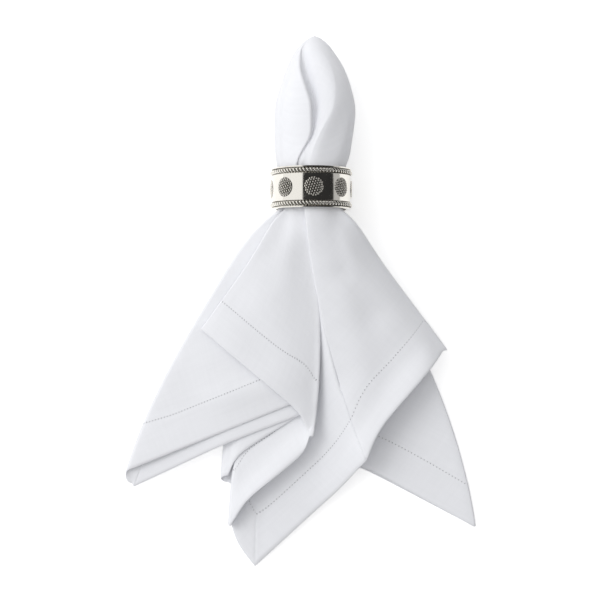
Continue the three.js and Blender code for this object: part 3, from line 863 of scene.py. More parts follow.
@dataclass
class Napkin:
    """The napkin: a closed sheet on the drape's middle surface, thicker along its folded hem."""

    materials: Materials
    shift: Vector
    finish: LinenFinish
    drape: Drape = field(default_factory=Drape)
    side_mm: float = 457.0
    thickness_mm: float = 0.5
    hem_thickness_mm: float = 0.85
    hem_width_mm: float = 20.5
    hem_step_mm: float = 1.0
    edge_round_mm: float = 0.3
    hem_edge_share: float = 0.75
    mitre_pinch: float = 0.55
    smoothing: int = 3
    smooth_inside: float = 0.5
    smooth_at_hem: float = 0.4
    smooth_along: float = 0.4
    hem_zone: float = 0.7
    corner_guard: int = 3
    stretch_limits: tuple[float, float] = (0.55, 1.25)
    stretch_reach_mm: float = 16.0
    sheet: Optional[Sheet] = None

    def flat_map(self, rays: Rays, grid: np.ndarray) -> np.ndarray:
        """Lays the cloth out flat.

        Args:
            rays: the rays of cloth.
            grid: the middle surface, by ray and row.

        Returns:
            Each place on the flat cloth from its middle, in millimetres, by ray and row.
        """
        hem = grid[:, -1]
        steps = np.linalg.norm(np.roll(hem, -1, axis=0) - hem, axis=1)
        along = np.concatenate([[0.0], np.cumsum(steps)[:-1]])
        corners = [int(np.argmin(np.abs(rays.knot - FOLD_AT[name]))) for name, _ in CORNERS]
        signs = [np.array(sign, float) for _, sign in CORNERS]
        edge = np.zeros((len(along), 2))
        for place in range(4):
            start, end = corners[place], corners[(place + 1) % 4]
            length = (along[end] - along[start]) % steps.sum()
            share = ((along - along[start]) % steps.sum()) / length
            inside = share <= 1.0
            edge[inside] = self.side_mm / 2 * mix(signs[place], signs[(place + 1) % 4], share[inside, None])
        runs = np.cumsum(np.linalg.norm(np.diff(grid, axis=1), axis=2), axis=1)
        run = np.concatenate([np.zeros((len(along), 1)), runs], axis=1) + 1.0
        return edge[:, None, :] * (run / run[:, -1:])[:, :, None]

    def hem_measures(self, grid: np.ndarray, flat: np.ndarray) -> tuple[np.ndarray, np.ndarray]:
        """Measures the cloth from its hem.

        Args:
            grid: the middle surface, by ray and row.
            flat: each place on the flat cloth.

        Returns:
            The distance from the hem and the place along it, in millimetres, by ray and row.
        """
        half = self.side_mm / 2
        lengths = np.linalg.norm(np.diff(grid, axis=1), axis=2).sum(axis=1)
        tangent = np.roll(grid[:, -1], -2, axis=0) - np.roll(grid[:, -1], 2, axis=0)
        toward = grid[:, -1] - grid[:, -5]
        lean = np.linalg.norm(np.cross(tangent, toward), axis=1)
        lean /= np.linalg.norm(tangent, axis=1) * np.linalg.norm(toward, axis=1) + 1e-9
        flat_hem = flat[:, -1]
        flat_lean = half / np.linalg.norm(flat_hem, axis=1)
        stretch = np.clip(lengths / np.linalg.norm(flat_hem, axis=1) * lean / flat_lean, *self.stretch_limits)
        steps = np.linalg.norm(np.roll(grid[:, -1], -1, axis=0) - grid[:, -1], axis=1)
        place = np.concatenate([[0.0], np.cumsum(steps)[:-1]])
        apart = np.abs(place[:, None] - place)
        apart = np.minimum(apart, steps.sum() - apart)
        weight = np.exp(-(apart / self.stretch_reach_mm) ** 2) * (steps + np.roll(steps, 1))
        even = (weight @ stretch) / weight.sum(axis=1)
        u, v = flat[:, :, 0], flat[:, :, 1]
        away = np.minimum(half - np.abs(u), half - np.abs(v)) * even[:, None]
        sides = [(-u, v), (v, u), (u, -v), (-v, -u)]
        along = np.zeros_like(away)
        for place, (outward, forward) in enumerate(sides):
            nearest = outward >= np.maximum(np.abs(u), np.abs(v)) - 1e-6
            along[nearest] = (self.side_mm * place + half + forward)[nearest]
        return away, along

    def smooth(self, rays: Rays, grid: np.ndarray) -> np.ndarray:
        """Rounds the bends between panels, and leaves the folds, the hem and the tip as they are."""
        bulge = np.abs(rays.roll_neck) + np.abs(rays.roll_hem)
        free = (bulge == 0) & (np.roll(bulge, 1) == 0) & (np.roll(bulge, -1) == 0)
        result = grid.copy()
        rows = np.arange(grid.shape[1]) / (grid.shape[1] - 1)
        near_hem = ease((rows - self.hem_zone) / (1 - self.hem_zone))
        weight = mix(self.smooth_inside, self.smooth_at_hem, near_hem)[:, None]
        for name, _ in CORNERS:
            ray = int(np.argmin(np.abs(rays.knot - FOLD_AT[name])))
            free[ray - self.corner_guard:ray + self.corner_guard + 1] = False
        for _ in range(self.smoothing):
            around = (np.roll(result, 1, axis=0) + np.roll(result, -1, axis=0)) / 2
            result[free] = mix(result[free], around[free], weight)
            inner = (result[:, :-2] + result[:, 2:]) / 2
            result[:, 1:-1] = mix(result[:, 1:-1], inner, self.smooth_along)
        result[:, :, 2] = np.maximum(result[:, :, 2], self.drape.floor_clearance)
        return result

    def normals(self, grid: np.ndarray) -> np.ndarray:
        """Returns the sheet's unit normals, from the directions that halve each bend."""

        def unit(run: np.ndarray) -> np.ndarray:
            """Returns directions of length one."""
            return run / (np.linalg.norm(run, axis=-1, keepdims=True) + 1e-9)

        tip = np.broadcast_to(np.array(PLUME_TIP), grid[:, :1].shape)
        before = np.concatenate([tip, grid[:, :-1]], axis=1)
        after = np.concatenate([grid[:, 1:], 2 * grid[:, -1:] - grid[:, -2:-1]], axis=1)
        around = unit(grid - np.roll(grid, 1, axis=0)) + unit(np.roll(grid, -1, axis=0) - grid)
        along = unit(grid - before) + unit(after - grid)
        return unit(np.cross(around, along))

    def build(self) -> bpy.types.Object:
        """Builds the closed sheet with its finish, its flat map and its hem measures."""
        rays = self.drape.lay_rays()
        grid = self.smooth(rays, self.drape.surface(rays))
        flat = self.flat_map(rays, grid)
        away, along = self.hem_measures(grid, flat)
        normals = self.normals(grid)
        in_hem = ease((self.hem_width_mm - away) / self.hem_step_mm + 0.5)
        half = mix(self.thickness_mm, self.hem_thickness_mm, in_hem) / 2
        half[:, -1] *= self.hem_edge_share
        for name, _ in CORNERS:
            ray = int(np.argmin(np.abs(rays.knot - FOLD_AT[name])))
            half[ray] *= mix(1.0, self.mitre_pinch, in_hem[ray])
        self.sheet = Sheet(grid, normals, away, along)
        edge = grid[:, -1] + self._outward(grid) * self.edge_round_mm
        count, rows = away.shape
        tip = np.array(PLUME_TIP)
        layers = []
        for way in (1.0, -1.0):
            layers.append(tip + np.array([0, way * self.thickness_mm / 2, 0]))
            layers.append((grid + normals * half[:, :, None] * way).reshape(-1, 3))
        points = np.vstack([*layers, edge])
        points[:, 2] = np.maximum(points[:, 2], 0.0)
        ray = np.arange(count)
        following = (ray + 1) % count
        faces = []
        for side, order in ((0, 1), (1, -1)):
            first = side * (1 + count * rows)
            own = first + 1 + ray[:, None] * rows + np.arange(rows)
            near, far = own, own[following]
            cap = np.stack([np.full(count, first), far[:, 0], near[:, 0], np.full(count, -1)], axis=1)
            wall = np.stack([near[:, :-1], far[:, :-1], far[:, 1:], near[:, 1:]], axis=-1).reshape(-1, 4)
            rim = 2 * (1 + count * rows) + ray
            lip = np.stack([near[:, -1], far[:, -1], rim[following], rim], axis=1)
            if order < 0:
                cap, wall, lip = cap[:, [0, 2, 1, 3]], wall[:, ::-1], lip[:, ::-1]
            faces += [cap, wall, lip]
        piece = new_mesh("linen_napkin", points, np.vstack(faces), self.shift)
        self._dress(piece, flat, away, along)
        LOG.info("%s: %d rays, %d rows, %d faces", piece.name, count, rows, len(piece.data.polygons))
        return piece

    def _outward(self, grid: np.ndarray) -> np.ndarray:
        """Returns the direction in which the cloth runs out at the hem."""
        run = grid[:, -1] - grid[:, -2]
        return run / (np.linalg.norm(run, axis=1)[:, None] + 1e-9)

    def _dress(self, piece: bpy.types.Object, flat: np.ndarray, away: np.ndarray, along: np.ndarray) -> None:
        """Gives the sheet its material, its flat map and its hem measures."""
        mesh = piece.data
        centre = np.zeros((1, 2))
        flat_points = np.vstack([centre, flat.reshape(-1, 2)] * 2 + [flat[:, -1]]) * MM
        corner_points = np.empty(len(mesh.loops), int)
        mesh.loops.foreach_get("vertex_index", corner_points)
        layer = mesh.uv_layers.new(name="flat")
        layer.data.foreach_set("uv", flat_points[corner_points].astype(np.float32).ravel())
        columns = [
            np.concatenate([[self.side_mm / 2], values.ravel()] * 2 + [values[:, -1]])[corner_points]
            for values in (away, along)
        ]
        starts = np.empty(len(mesh.polygons), int)
        mesh.polygons.foreach_get("loop_start", starts)
        spans = np.maximum.reduceat(columns[1], starts) - np.minimum.reduceat(columns[1], starts)
        sizes = np.diff(np.append(starts, len(corner_points)))
        columns[1][np.repeat(spans > self.hem_width_mm, sizes)] = self.finish.stitch_pitch_mm / 2
        for name, column in zip(("from_hem", "along_hem"), columns):
            attribute = mesh.attributes.new(name, "FLOAT", "CORNER")
            attribute.data.foreach_set("value", column.astype(np.float32))
        mesh.materials.append(self.materials.linen)


@dataclass
class Hemstitch:
    """The hemstitch: bundles of cloth threads bound together between the drawn holes, all round the hem."""

    materials: Materials
    shift: Vector
    finish: LinenFinish
    sheet: Sheet
    side_mm: float
    bundle_width: float = 0.56
    bundle_length: float = 1.7
    bundle_height: float = 0.98

    def line(self) -> tuple[np.ndarray, np.ndarray, np.ndarray]:
        """Finds the line of the stitches.

        Returns:
            Where each ray crosses it, as the place along the hem, the position and the normal.
        """
        away, line = self.sheet.away, self.finish.stitch_from_hem_mm
        ray = np.arange(len(away))
        row = np.argmax(away < line, axis=1)
        share = (away[ray, row - 1] - line) / (away[ray, row - 1] - away[ray, row])
        parts = [
            mix(values[ray, row - 1], values[ray, row], share.reshape(-1, *[1] * (values.ndim - 2)))
            for values in (self.sheet.along, self.sheet.grid, self.sheet.normals)
        ]
        whole = np.abs(self.sheet.along[ray, row] - self.sheet.along[ray, row - 1]) < line
        order = np.argsort(parts[0][whole])
        along, places, normals = [values[whole][order] for values in parts]
        return along, places, normals

    def stations(self) -> tuple[np.ndarray, np.ndarray, np.ndarray]:
        """Returns the place, direction and normal of every stitch, halfway between two holes."""
        along, places, normals = self.line()
        pitch, inset = self.finish.stitch_pitch_mm, self.finish.stitch_from_hem_mm
        at = (np.arange(int(4 * self.side_mm / pitch)) + 0.5) * pitch
        from_corner = np.minimum(at % self.side_mm, self.side_mm - at % self.side_mm)
        at = at[from_corner > inset + pitch]

        def read(values: np.ndarray, where: np.ndarray) -> np.ndarray:
            """Returns vectors read at places along the hem."""
            return np.stack([np.interp(where, along, values[:, axis]) for axis in range(3)], axis=1)

        forward = read(places, at + 0.5) - read(places, at - 0.5)
        return read(places, at), forward, read(normals, at)

    def tree(self) -> bpy.types.NodeTree:
        """Builds the node tree that puts one bundle of threads at each stitch."""
        tree, inputs = new_tree("hemstitch", {
            "Bundle Width": self.bundle_width * MM, "Bundle Length": self.bundle_length * MM,
            "Bundle Height": self.bundle_height * MM,
        }, from_mesh=True)
        forward, upward = [
            add_node(
                tree, "GeometryNodeInputNamedAttribute", {"data_type": "FLOAT_VECTOR"}, Name=name,
            ).outputs["Attribute"]
            for name in ("forward", "upward")
        ]
        turn = add_node(
            tree, "FunctionNodeAxesToRotation", {"primary_axis": "Z", "secondary_axis": "X"},
            Primary_Axis=upward, Secondary_Axis=forward,
        ).outputs[0]
        ball = add_node(tree, "GeometryNodeMeshUVSphere", Segments=8, Rings=5, Radius=0.5).outputs["Mesh"]
        size = add_node(
            tree, "ShaderNodeCombineXYZ", X=inputs["Bundle Width"], Y=inputs["Bundle Length"],
            Z=inputs["Bundle Height"],
        ).outputs[0]
        bundles = add_node(
            tree, "GeometryNodeInstanceOnPoints", Points=inputs["Geometry"], Instance=ball,
            Rotation=turn, Scale=size,
        ).outputs[0]
        real = add_node(tree, "GeometryNodeRealizeInstances", Geometry=bundles).outputs[0]
        smooth = add_node(tree, "GeometryNodeSetShadeSmooth", Geometry=real).outputs[0]
        dressed = add_node(tree, "GeometryNodeSetMaterial", Geometry=smooth, Material=self.materials.thread)
        output = tree.nodes.new("NodeGroupOutput")
        tree.links.new(dressed.outputs[0], output.inputs[0])
        return tree

    def build(self) -> bpy.types.Object:
        """Sews the stitches, as one plain mesh."""
        places, forward, upward = self.stations()
        seed = bpy.data.meshes.new("stitch_places")
        seed.from_pydata(((places + np.array(self.shift)) * MM).tolist(), [], [])
        for name, values in (("forward", forward), ("upward", upward)):
            column = seed.attributes.new(name, "FLOAT_VECTOR", "POINT")
            column.data.foreach_set("vector", values.astype(np.float32).ravel())
        return grow("hemstitch", self.tree(), Vector((0, 0, 0)), 0.0, seed)


class RingPart(Enum):
    """The pieces of the ring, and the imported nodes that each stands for."""

    BAND = "ring_band"
    UPPER_ROPE = "rope_rim_upper"
    LOWER_ROPE = "rope_rim_lower"


@dataclass
class NapkinRing:
    """The ring: a polished band between two twisted ropes, with beaded bosses round its middle."""

    materials: Materials
    shift: Vector
    bore_radius: float = 20.4
    band_radius: float = 23.0
    seat_radius: float = 21.1
    lip_radius: float = 23.2
    edge_round: float = 0.22
    seat_half_width: float = 1.6
    band_segments: int = 192
    rope_radius: float = 22.72
    rope_from_middle: float = 9.3
    strand_radius: float = 0.6
    strand_offset: float = 0.68
    rope_turns: int = 36
    strands: int = 2
    steps_per_turn: int = 12
    strand_sides: int = 8
    core_share: float = 0.7
    boss_count: int = 8
    boss_radius: float = 5.5
    boss_crown: float = 0.95
    boss_edge: float = 0.35
    bead_radius: float = 0.55
    bead_pitch: float = 1.5
    bead_stretch: float = 1.25
    bead_height: float = 1.15
    bead_turn: float = -18.0
    bead_rows: int = 9
    lattice_turn: float = 12.0
    disc_depth: float = 0.4
    boss_first_angle: float = 3.4

    def around(self, radius: np.ndarray, height: np.ndarray, angle: np.ndarray) -> np.ndarray:
        """Returns places at a radius, a height along the axis and an angle from the top."""
        return np.stack([
            RING_MIDDLE.x + radius * np.sin(angle),
            RING_MIDDLE.y + height,
            RING_MIDDLE.z + radius * np.cos(angle),
        ], axis=-1)

    def profile(self) -> list[tuple[float, float]]:
        """Returns the band's closed profile, as radius and height, with its corners rounded."""
        end = RING_HEIGHT / 2
        seat = self.rope_from_middle - self.seat_half_width, self.rope_from_middle + self.seat_half_width
        upper = [
            (self.band_radius, seat[0]), (self.seat_radius, seat[0]), (self.seat_radius, seat[1]),
            (self.lip_radius, seat[1]), (self.lip_radius, end), (self.bore_radius, end),
        ]
        corners = upper + [(radius, -height) for radius, height in reversed(upper)]
        points = []
        for place, corner in enumerate(corners):
            here = np.array(corner)
            before = np.array(corners[place - 1]) - here
            after = np.array(corners[(place + 1) % len(corners)]) - here
            inset = [run / np.linalg.norm(run) * self.edge_round for run in (before, after)]
            for turn in np.linspace(0, 1, 4):
                bend = (1 - turn) ** 2 * inset[0] + turn**2 * inset[1]
                points.append(tuple(here + bend))
        return points

    def build_band(self) -> bpy.types.Object:
        """Turns the band's profile round the ring's axis."""
        outline = np.array(self.profile())
        angles = np.arange(self.band_segments) * math.tau / self.band_segments
        points = np.vstack([self.around(outline[:, 0], outline[:, 1], angle) for angle in angles])
        size = len(outline)
        own = np.arange(self.band_segments)[:, None] * size + np.arange(size)
        far = np.roll(own, -1, axis=0)
        corners = [own, far, np.roll(far, -1, axis=1), np.roll(own, -1, axis=1)]
        faces = np.stack(corners, axis=-1).reshape(-1, 4)
        piece = new_mesh("silver_band", points, faces[:, ::-1], self.shift)
        piece.data.materials.append(self.materials.silver)
        return piece

    def rope_tree(self) -> bpy.types.NodeTree:
        """Builds the node tree of a twisted rope round the ring, as strands about a dark core."""
        tree, inputs = new_tree("twisted_rope", {
            "Rope Radius": self.rope_radius * MM, "Strand Offset": self.strand_offset * MM,
            "Strand Radius": self.strand_radius * MM, "Turns": float(self.rope_turns),
        })
        circle = add_node(
            tree, "GeometryNodeCurvePrimitiveCircle",
            Resolution=self.rope_turns * self.steps_per_turn, Radius=1.0,
        ).outputs["Curve"]
        factor = add_node(tree, "GeometryNodeSplineParameter").outputs["Factor"]
        angle = add_node(
            tree, "ShaderNodeMath", {"operation": "MULTIPLY"}, at_0=factor, at_1=math.tau,
        ).outputs[0]
        twist = add_node(
            tree, "ShaderNodeMath", {"operation": "MULTIPLY"}, at_0=angle, at_1=inputs["Turns"],
        ).outputs[0]
        join = tree.nodes.new("GeometryNodeJoinGeometry")
        silver = self.materials.silver
        parts = [
            (strand * math.tau / self.strands, inputs["Strand Offset"], inputs["Strand Radius"], silver)
            for strand in range(self.strands)
        ]
        parts.append((0.0, 0.0, self.core_share * self.strand_radius * MM, self.materials.patina))
        for phase, offset, thickness, material in parts:
            turned = add_node(
                tree, "ShaderNodeMath", {"operation": "SUBTRACT"}, at_0=phase, at_1=twist,
            ).outputs[0]
            sine = add_node(tree, "ShaderNodeMath", {"operation": "SINE"}, at_0=turned).outputs[0]
            cosine = add_node(tree, "ShaderNodeMath", {"operation": "COSINE"}, at_0=turned).outputs[0]
            radius = add_node(
                tree, "ShaderNodeMath", {"operation": "MULTIPLY_ADD"}, at_0=cosine, at_1=offset,
                at_2=inputs["Rope Radius"],
            ).outputs[0]
            height = add_node(
                tree, "ShaderNodeMath", {"operation": "MULTIPLY"}, at_0=sine, at_1=offset,
            ).outputs[0]
            across, up = [
                add_node(
                    tree, "ShaderNodeMath", {"operation": "MULTIPLY"}, at_0=radius,
                    at_1=add_node(tree, "ShaderNodeMath", {"operation": operation}, at_0=angle).outputs[0],
                ).outputs[0]
                for operation in ("SINE", "COSINE")
            ]
            place = add_node(tree, "ShaderNodeCombineXYZ", X=across, Y=height, Z=up).outputs[0]
            path = add_node(tree, "GeometryNodeSetPosition", Geometry=circle, Position=place).outputs[0]
            section = add_node(
                tree, "GeometryNodeCurvePrimitiveCircle", Resolution=self.strand_sides, Radius=thickness,
            ).outputs["Curve"]
            tube = add_node(tree, "GeometryNodeCurveToMesh", Curve=path, Profile_Curve=section).outputs[0]
            dressed = add_node(tree, "GeometryNodeSetMaterial", Geometry=tube, Material=material).outputs[0]
            tree.links.new(dressed, join.inputs[0])
        realized = add_node(tree, "GeometryNodeRealizeInstances", Geometry=join.outputs[0]).outputs[0]
        smooth = add_node(tree, "GeometryNodeSetShadeSmooth", Geometry=realized).outputs[0]
        output = tree.nodes.new("NodeGroupOutput")
        tree.links.new(smooth, output.inputs[0])
        return tree

    def build_rope(self, part: RingPart, tree: bpy.types.NodeTree) -> bpy.types.Object:
        """Makes one rope rim from the rope's tree.

        Args:
            part: the upper or the lower rope.
            tree: the rope's node tree.

        Returns:
            The rope, as a plain mesh.
        """
        way = 1 if part is RingPart.UPPER_ROPE else -1
        middle = RING_MIDDLE + Vector((0, way * self.rope_from_middle, 0)) + self.shift
        return grow(part.value.replace("rope_rim", "silver_rope"), tree, middle * MM, 0.0)

    def boss_tree(self) -> bpy.types.NodeTree:
        """Builds the node tree of a boss: a dark dome that follows the band, set with polished beads."""
        tree, inputs = new_tree("beaded_boss", {
            "Boss Radius": self.boss_radius * MM, "Bead Radius": self.bead_radius * MM,
            "Bead Pitch": self.bead_pitch * MM,
        })
        count = self.bead_rows
        row_share = math.sqrt(3) / 2
        lattice = add_node(
            tree, "GeometryNodeMeshGrid", Size_X=float(count - 1), Size_Y=float(count - 1),
            Vertices_X=count, Vertices_Y=count,
        ).outputs["Mesh"]
        split = add_node(
            tree, "ShaderNodeSeparateXYZ", Vector=add_node(tree, "GeometryNodeInputPosition").outputs[0],
        )
        lean = add_node(
            tree, "ShaderNodeMath", {"operation": "MULTIPLY_ADD"}, at_0=split.outputs["Y"], at_1=0.5,
            at_2=split.outputs["X"],
        ).outputs[0]
        rise = add_node(
            tree, "ShaderNodeMath", {"operation": "MULTIPLY"}, at_0=split.outputs["Y"], at_1=row_share,
        ).outputs[0]
        skewed = add_node(tree, "ShaderNodeCombineXYZ", X=lean, Y=rise).outputs[0]
        scaled = add_node(
            tree, "ShaderNodeVectorMath", {"operation": "SCALE"}, at_0=skewed, Scale=inputs["Bead Pitch"],
        ).outputs[0]
        turned = add_node(
            tree, "ShaderNodeVectorRotate", {"rotation_type": "Z_AXIS"}, Vector=scaled,
            Angle=math.radians(self.lattice_turn),
        ).outputs[0]
        spread = add_node(tree, "GeometryNodeSetPosition", Geometry=lattice, Position=turned).outputs[0]
        place = add_node(tree, "GeometryNodeInputPosition").outputs[0]
        reach = add_node(tree, "ShaderNodeVectorMath", {"operation": "LENGTH"}, at_0=place).outputs["Value"]
        outside = add_node(
            tree, "ShaderNodeMath", {"operation": "GREATER_THAN"}, at_0=reach, at_1=inputs["Boss Radius"],
        ).outputs[0]
        inside = add_node(
            tree, "GeometryNodeDeleteGeometry", {"domain": "POINT"}, Geometry=spread, Selection=outside,
        ).outputs[0]
        rim = add_node(
            tree, "ShaderNodeMath", {"operation": "SUBTRACT"}, at_0=inputs["Boss Radius"],
            at_1=inputs["Bead Radius"],
        ).outputs[0]
        pull = add_node(tree, "ShaderNodeMath", {"operation": "DIVIDE"}, at_0=rim, at_1=reach).outputs[0]
        share = add_node(tree, "ShaderNodeMath", {"operation": "MINIMUM"}, at_0=pull, at_1=1.0).outputs[0]
        pulled = add_node(
            tree, "ShaderNodeVectorMath", {"operation": "SCALE"}, at_0=place, Scale=share,
        ).outputs[0]
        kept = add_node(tree, "GeometryNodeSetPosition", Geometry=inside, Position=pulled)
        bead = add_node(
            tree, "GeometryNodeMeshUVSphere", Segments=10, Rings=6, Radius=inputs["Bead Radius"],
        ).outputs["Mesh"]
        beads = add_node(
            tree, "GeometryNodeInstanceOnPoints", Points=kept.outputs[0], Instance=bead,
            Rotation=(0.0, 0.0, math.radians(self.bead_turn)),
            Scale=(1.0, self.bead_stretch, self.bead_height),
        ).outputs[0]
        real = add_node(tree, "GeometryNodeRealizeInstances", Geometry=beads).outputs[0]
        polished = add_node(
            tree, "GeometryNodeSetMaterial", Geometry=real, Material=self.materials.beads,
        ).outputs[0]
        return self._wrap_on_band(tree, inputs, polished)

    def _wrap_on_band(
        self, tree: bpy.types.NodeTree, inputs: bpy.types.NodeOutputs, beads: bpy.types.NodeSocket,
    ) -> bpy.types.NodeTree:
        """Adds the dome under the beads, bends both round the band and ends the tree.

        Args:
            tree: the boss's tree.
            inputs: its inputs.
            beads: the beads, laid flat.

        Returns:
            The same tree.
        """
        disc = add_node(
            tree, "GeometryNodeMeshCylinder", {"fill_type": "TRIANGLE_FAN"}, Vertices=48, Side_Segments=1,
            Fill_Segments=8, Radius=inputs["Boss Radius"], Depth=self.disc_depth * MM,
        ).outputs["Mesh"]
        dark = add_node(
            tree, "GeometryNodeSetMaterial", Geometry=disc, Material=self.materials.patina,
        ).outputs[0]
        join = tree.nodes.new("GeometryNodeJoinGeometry")
        tree.links.new(dark, join.inputs[0])
        tree.links.new(beads, join.inputs[0])
        place = add_node(tree, "GeometryNodeInputPosition").outputs[0]
        split = add_node(tree, "ShaderNodeSeparateXYZ", Vector=place)
        flat = add_node(tree, "ShaderNodeCombineXYZ", X=split.outputs["X"], Y=split.outputs["Y"]).outputs[0]
        reach = add_node(tree, "ShaderNodeVectorMath", {"operation": "LENGTH"}, at_0=flat).outputs["Value"]
        share = add_node(
            tree, "ShaderNodeMath", {"operation": "DIVIDE"}, at_0=reach, at_1=inputs["Boss Radius"],
        ).outputs[0]
        square = add_node(
            tree, "ShaderNodeMath", {"operation": "MULTIPLY"}, at_0=share, at_1=share,
        ).outputs[0]
        crown = (self.band_radius + self.boss_crown - self.bead_radius) * MM
        edge = (self.boss_edge - self.boss_crown) * MM
        dome = add_node(
            tree, "ShaderNodeMath", {"operation": "MULTIPLY_ADD"}, at_0=square, at_1=edge, at_2=crown,
        )
        radius = add_node(
            tree, "ShaderNodeMath", {"operation": "ADD"}, at_0=dome.outputs[0], at_1=split.outputs["Z"],
        ).outputs[0]
        angle = add_node(
            tree, "ShaderNodeMath", {"operation": "DIVIDE"}, at_0=split.outputs["X"],
            at_1=self.band_radius * MM,
        ).outputs[0]
        across, up = [
            add_node(
                tree, "ShaderNodeMath", {"operation": "MULTIPLY"}, at_0=radius,
                at_1=add_node(tree, "ShaderNodeMath", {"operation": operation}, at_0=angle).outputs[0],
            ).outputs[0]
            for operation in ("SINE", "COSINE")
        ]
        bent = add_node(tree, "ShaderNodeCombineXYZ", X=across, Y=split.outputs["Y"], Z=up).outputs[0]
        wrapped = add_node(
            tree, "GeometryNodeSetPosition", Geometry=join.outputs[0], Position=bent,
        ).outputs[0]
        smooth = add_node(tree, "GeometryNodeSetShadeSmooth", Geometry=wrapped).outputs[0]
        output = tree.nodes.new("NodeGroupOutput")
        tree.links.new(smooth, output.inputs[0])
        return tree

    def build(self) -> list[bpy.types.Object]:
        """Builds the band, the ropes and the bosses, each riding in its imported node's place."""
        made = [(self.build_band(), RingPart.BAND.value)]
        rope = self.rope_tree()
        for part in (RingPart.UPPER_ROPE, RingPart.LOWER_ROPE):
            made.append((self.build_rope(part, rope), part.value))
        boss = self.boss_tree()
        for place in range(self.boss_count):
            angle = math.radians(self.boss_first_angle + place * 360 / self.boss_count)
            name = f"boss_{place + 1}"
            made.append((grow(f"silver_{name}", boss, (RING_MIDDLE + self.shift) * MM, angle), name))
        for piece, node in made:
            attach(piece, "root")
            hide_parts(node)
            LOG.info("%s stands for %s, %d faces", piece.name, node, len(piece.data.polygons))
        return [piece for piece, _ in made]


def grow(
    name: str, tree: bpy.types.NodeTree, middle: Vector, angle: float, start: Optional[bpy.types.Mesh] = None,
) -> bpy.types.Object:
    """Makes a plain mesh from a node tree, turned about the ring's axis and moved to its place.

    Args:
        name: the piece's name.
        tree: the geometry node tree.
        middle: the place of the tree's origin, in metres.
        angle: the turn about +Y, in radians.
        start: the mesh that the tree begins from, if it takes one.

    Returns:
        The piece, with its place in its mesh.
    """
    seed = bpy.data.objects.new(name + "_seed", start or bpy.data.meshes.new(name + "_seed"))
    bpy.context.scene.collection.objects.link(seed)
    modifier = seed.modifiers.new("grow", "NODES")
    modifier.node_group = tree
    shown = seed.evaluated_get(bpy.context.evaluated_depsgraph_get())
    mesh = bpy.data.meshes.new_from_object(shown)
    mesh.name = name
    seed.modifiers.remove(modifier)
    bpy.data.objects.remove(seed)
    points = np.empty(len(mesh.vertices) * 3)
    mesh.vertices.foreach_get("co", points)
    x, y, z = points.reshape(-1, 3).T
    turned = np.stack([
        x * math.cos(angle) + z * math.sin(angle), y, z * math.cos(angle) - x * math.sin(angle),
    ], axis=1)
    mesh.vertices.foreach_set("co", (turned + np.array(middle)).ravel())
    mesh.update()
    piece = bpy.data.objects.new(name, mesh)
    bpy.context.scene.collection.objects.link(piece)
    return piece


@dataclass(frozen=True)
class Lamp:
    """A soft box over the table: its place, its size and its power, aimed at the napkin."""

    name: str
    place: tuple[float, float, float]
    size: float
    power: float


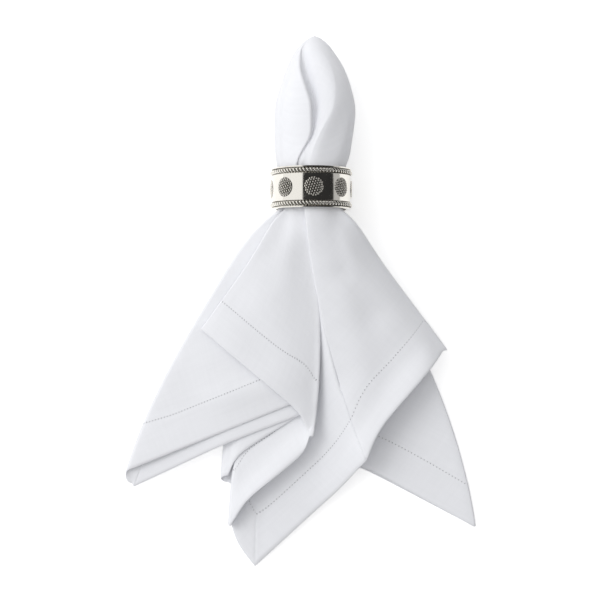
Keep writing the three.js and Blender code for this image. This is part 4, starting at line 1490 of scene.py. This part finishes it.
@dataclass
class Studio:
    """The white table, the soft light and the camera over the napkin."""

    shift: Vector
    camera_height_mm: float = 753.0
    camera_angle: float = 26.85
    table_side: float = 6.0
    table_glow: float = 0.4
    sky_level: float = 0.42
    sky_slope: float = 0.74
    sky_toward: tuple[float, float, float] = (-0.6, 0.32, 0.75)
    lamps: tuple[Lamp, ...] = (
        Lamp("key_box", (-1.1, 0.6, 1.3), 0.9, 8.5),
    )
    # Brightness of the room by the angle from overhead towards +X, in degrees: white screens on the
    # left, the dark of the room overhead and to the right, and a grey wall beyond it
    room: tuple[tuple[float, float], ...] = (
        (-180, 1.15), (-26, 1.15), (-24, 0.03), (66, 0.03), (68, 0.6), (180, 0.6),
    )

    def place_camera(self) -> None:
        """Puts the camera straight over the napkin, as in the photograph."""
        data = bpy.data.cameras.new("camera")
        data.sensor_width = 36.0
        data.angle = math.radians(self.camera_angle)
        data.clip_start, data.clip_end = 0.01, 50.0
        camera = bpy.data.objects.new("camera", data)
        camera.location = (self.shift.x * MM, self.shift.y * MM, self.camera_height_mm * MM)
        bpy.context.scene.collection.objects.link(camera)
        bpy.context.scene.camera = camera

    def lay_table(self) -> None:
        """Lays the pale table top under the napkin."""
        half = self.table_side * 1000 / 2
        points = np.array([[-half, -half, 0], [half, -half, 0], [half, half, 0], [-half, half, 0]], float)
        table = new_mesh("table_top", points, np.array([[0, 1, 2, 3]]), Vector((0, 0, -0.02)))
        material, tree, shader = new_material("white_table")
        place = add_node(tree, "ShaderNodeTexCoord").outputs["Object"]
        cloud = add_node(tree, "ShaderNodeTexNoise", Vector=place, Scale=3.0, Detail=2.0).outputs[0]
        rough = add_node(tree, "ShaderNodeMapRange", Value=cloud, at_3=0.75, at_4=0.9).outputs[0]
        tree.links.new(rough, shader.inputs["Roughness"])
        shader.inputs["Base Color"].default_value = linear("FAFAFA")
        lighting = add_node(tree, "ShaderNodeLightPath").outputs["Is Diffuse Ray"]
        glow = add_node(
            tree, "ShaderNodeMath", {"operation": "MULTIPLY_ADD"}, at_0=lighting, at_1=-self.table_glow,
            at_2=self.table_glow,
        ).outputs[0]
        shader.inputs["Emission Color"].default_value = linear("FFFFFF")
        tree.links.new(glow, shader.inputs["Emission Strength"])
        table.data.materials.append(material)

    def light(self) -> None:
        """Hangs the soft boxes and fills the room with a pale sky, darker overhead to the right."""
        for lamp in self.lamps:
            data = bpy.data.lights.new(lamp.name, "AREA")
            data.shape, data.size, data.energy = "SQUARE", lamp.size, lamp.power
            box = bpy.data.objects.new(lamp.name, data)
            box.location = lamp.place
            box.rotation_euler = Vector(lamp.place).to_track_quat("Z", "Y").to_euler()
            box.visible_glossy = False
            bpy.context.scene.collection.objects.link(box)
        world = bpy.data.worlds.new("studio")
        world.use_nodes = True
        tree = world.node_tree
        tree.nodes.clear()
        direction = add_node(tree, "ShaderNodeTexCoord").outputs["Generated"]
        split = add_node(tree, "ShaderNodeSeparateXYZ", Vector=direction)
        angle = add_node(
            tree, "ShaderNodeMath", {"operation": "ARCTAN2"}, at_0=split.outputs["X"],
            at_1=split.outputs["Z"],
        ).outputs[0]
        share = add_node(
            tree, "ShaderNodeMapRange", Value=angle, at_1=-math.pi, at_2=math.pi, at_3=0.0, at_4=1.0,
        ).outputs[0]
        ramp = add_node(tree, "ShaderNodeValToRGB", Fac=share)
        stops = ramp.color_ramp.elements
        while len(stops) < len(self.room):
            stops.new(0.5)
        for stop, (degrees, bright) in zip(stops, self.room):
            stop.position = (degrees + 180) / 360
            stop.color = (bright / 2, bright / 2, bright / 2, 1.0)
        toward = add_node(
            tree, "ShaderNodeVectorMath", {"operation": "DOT_PRODUCT"}, at_0=direction,
            at_1=tuple(Vector(self.sky_toward).normalized()),
        ).outputs["Value"]
        dome = add_node(
            tree, "ShaderNodeMath", {"operation": "MULTIPLY_ADD"}, at_0=toward, at_1=self.sky_slope / 2,
            at_2=self.sky_level / 2,
        ).outputs[0]
        mirrored = add_node(tree, "ShaderNodeLightPath").outputs["Is Glossy Ray"]
        seen = add_node(
            tree, "ShaderNodeMix", {"data_type": "RGBA"}, at_0=mirrored, at_6=dome, at_7=ramp.outputs[0],
        ).outputs[2]
        behind = add_node(
            tree, "ShaderNodeMix", {"data_type": "RGBA"},
            at_0=add_node(tree, "ShaderNodeLightPath").outputs["Is Camera Ray"], at_6=seen,
            at_7=(0.5, 0.5, 0.5, 1.0),
        ).outputs[2]
        sky = add_node(tree, "ShaderNodeBackground", Color=behind, Strength=2.0)
        output = tree.nodes.new("ShaderNodeOutputWorld")
        tree.links.new(sky.outputs[0], output.inputs["Surface"])
        bpy.context.scene.world = world
        bpy.context.scene.view_settings.view_transform = "Standard"


def main() -> None:
    """Builds the studio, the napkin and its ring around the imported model."""
    logging.basicConfig(level=logging.INFO, format="%(name)s: %(message)s")
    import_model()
    low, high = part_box(RingPart.BAND.value)
    shift = (low + high) / 2 / MM - RING_MIDDLE
    studio = Studio(shift)
    studio.place_camera()
    studio.lay_table()
    studio.light()
    linen = LinenFinish()
    materials = Materials(linen, SilverFinish(), PatinaFinish())
    napkin = Napkin(materials, shift, linen)
    cloth = napkin.build()
    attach(cloth, "root")
    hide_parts("napkin")
    stitches = Hemstitch(materials, shift, linen, napkin.sheet, napkin.side_mm).build()
    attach(stitches, "root")
    ring = NapkinRing(materials, shift).build()


if __name__ == "__main__":
    main()
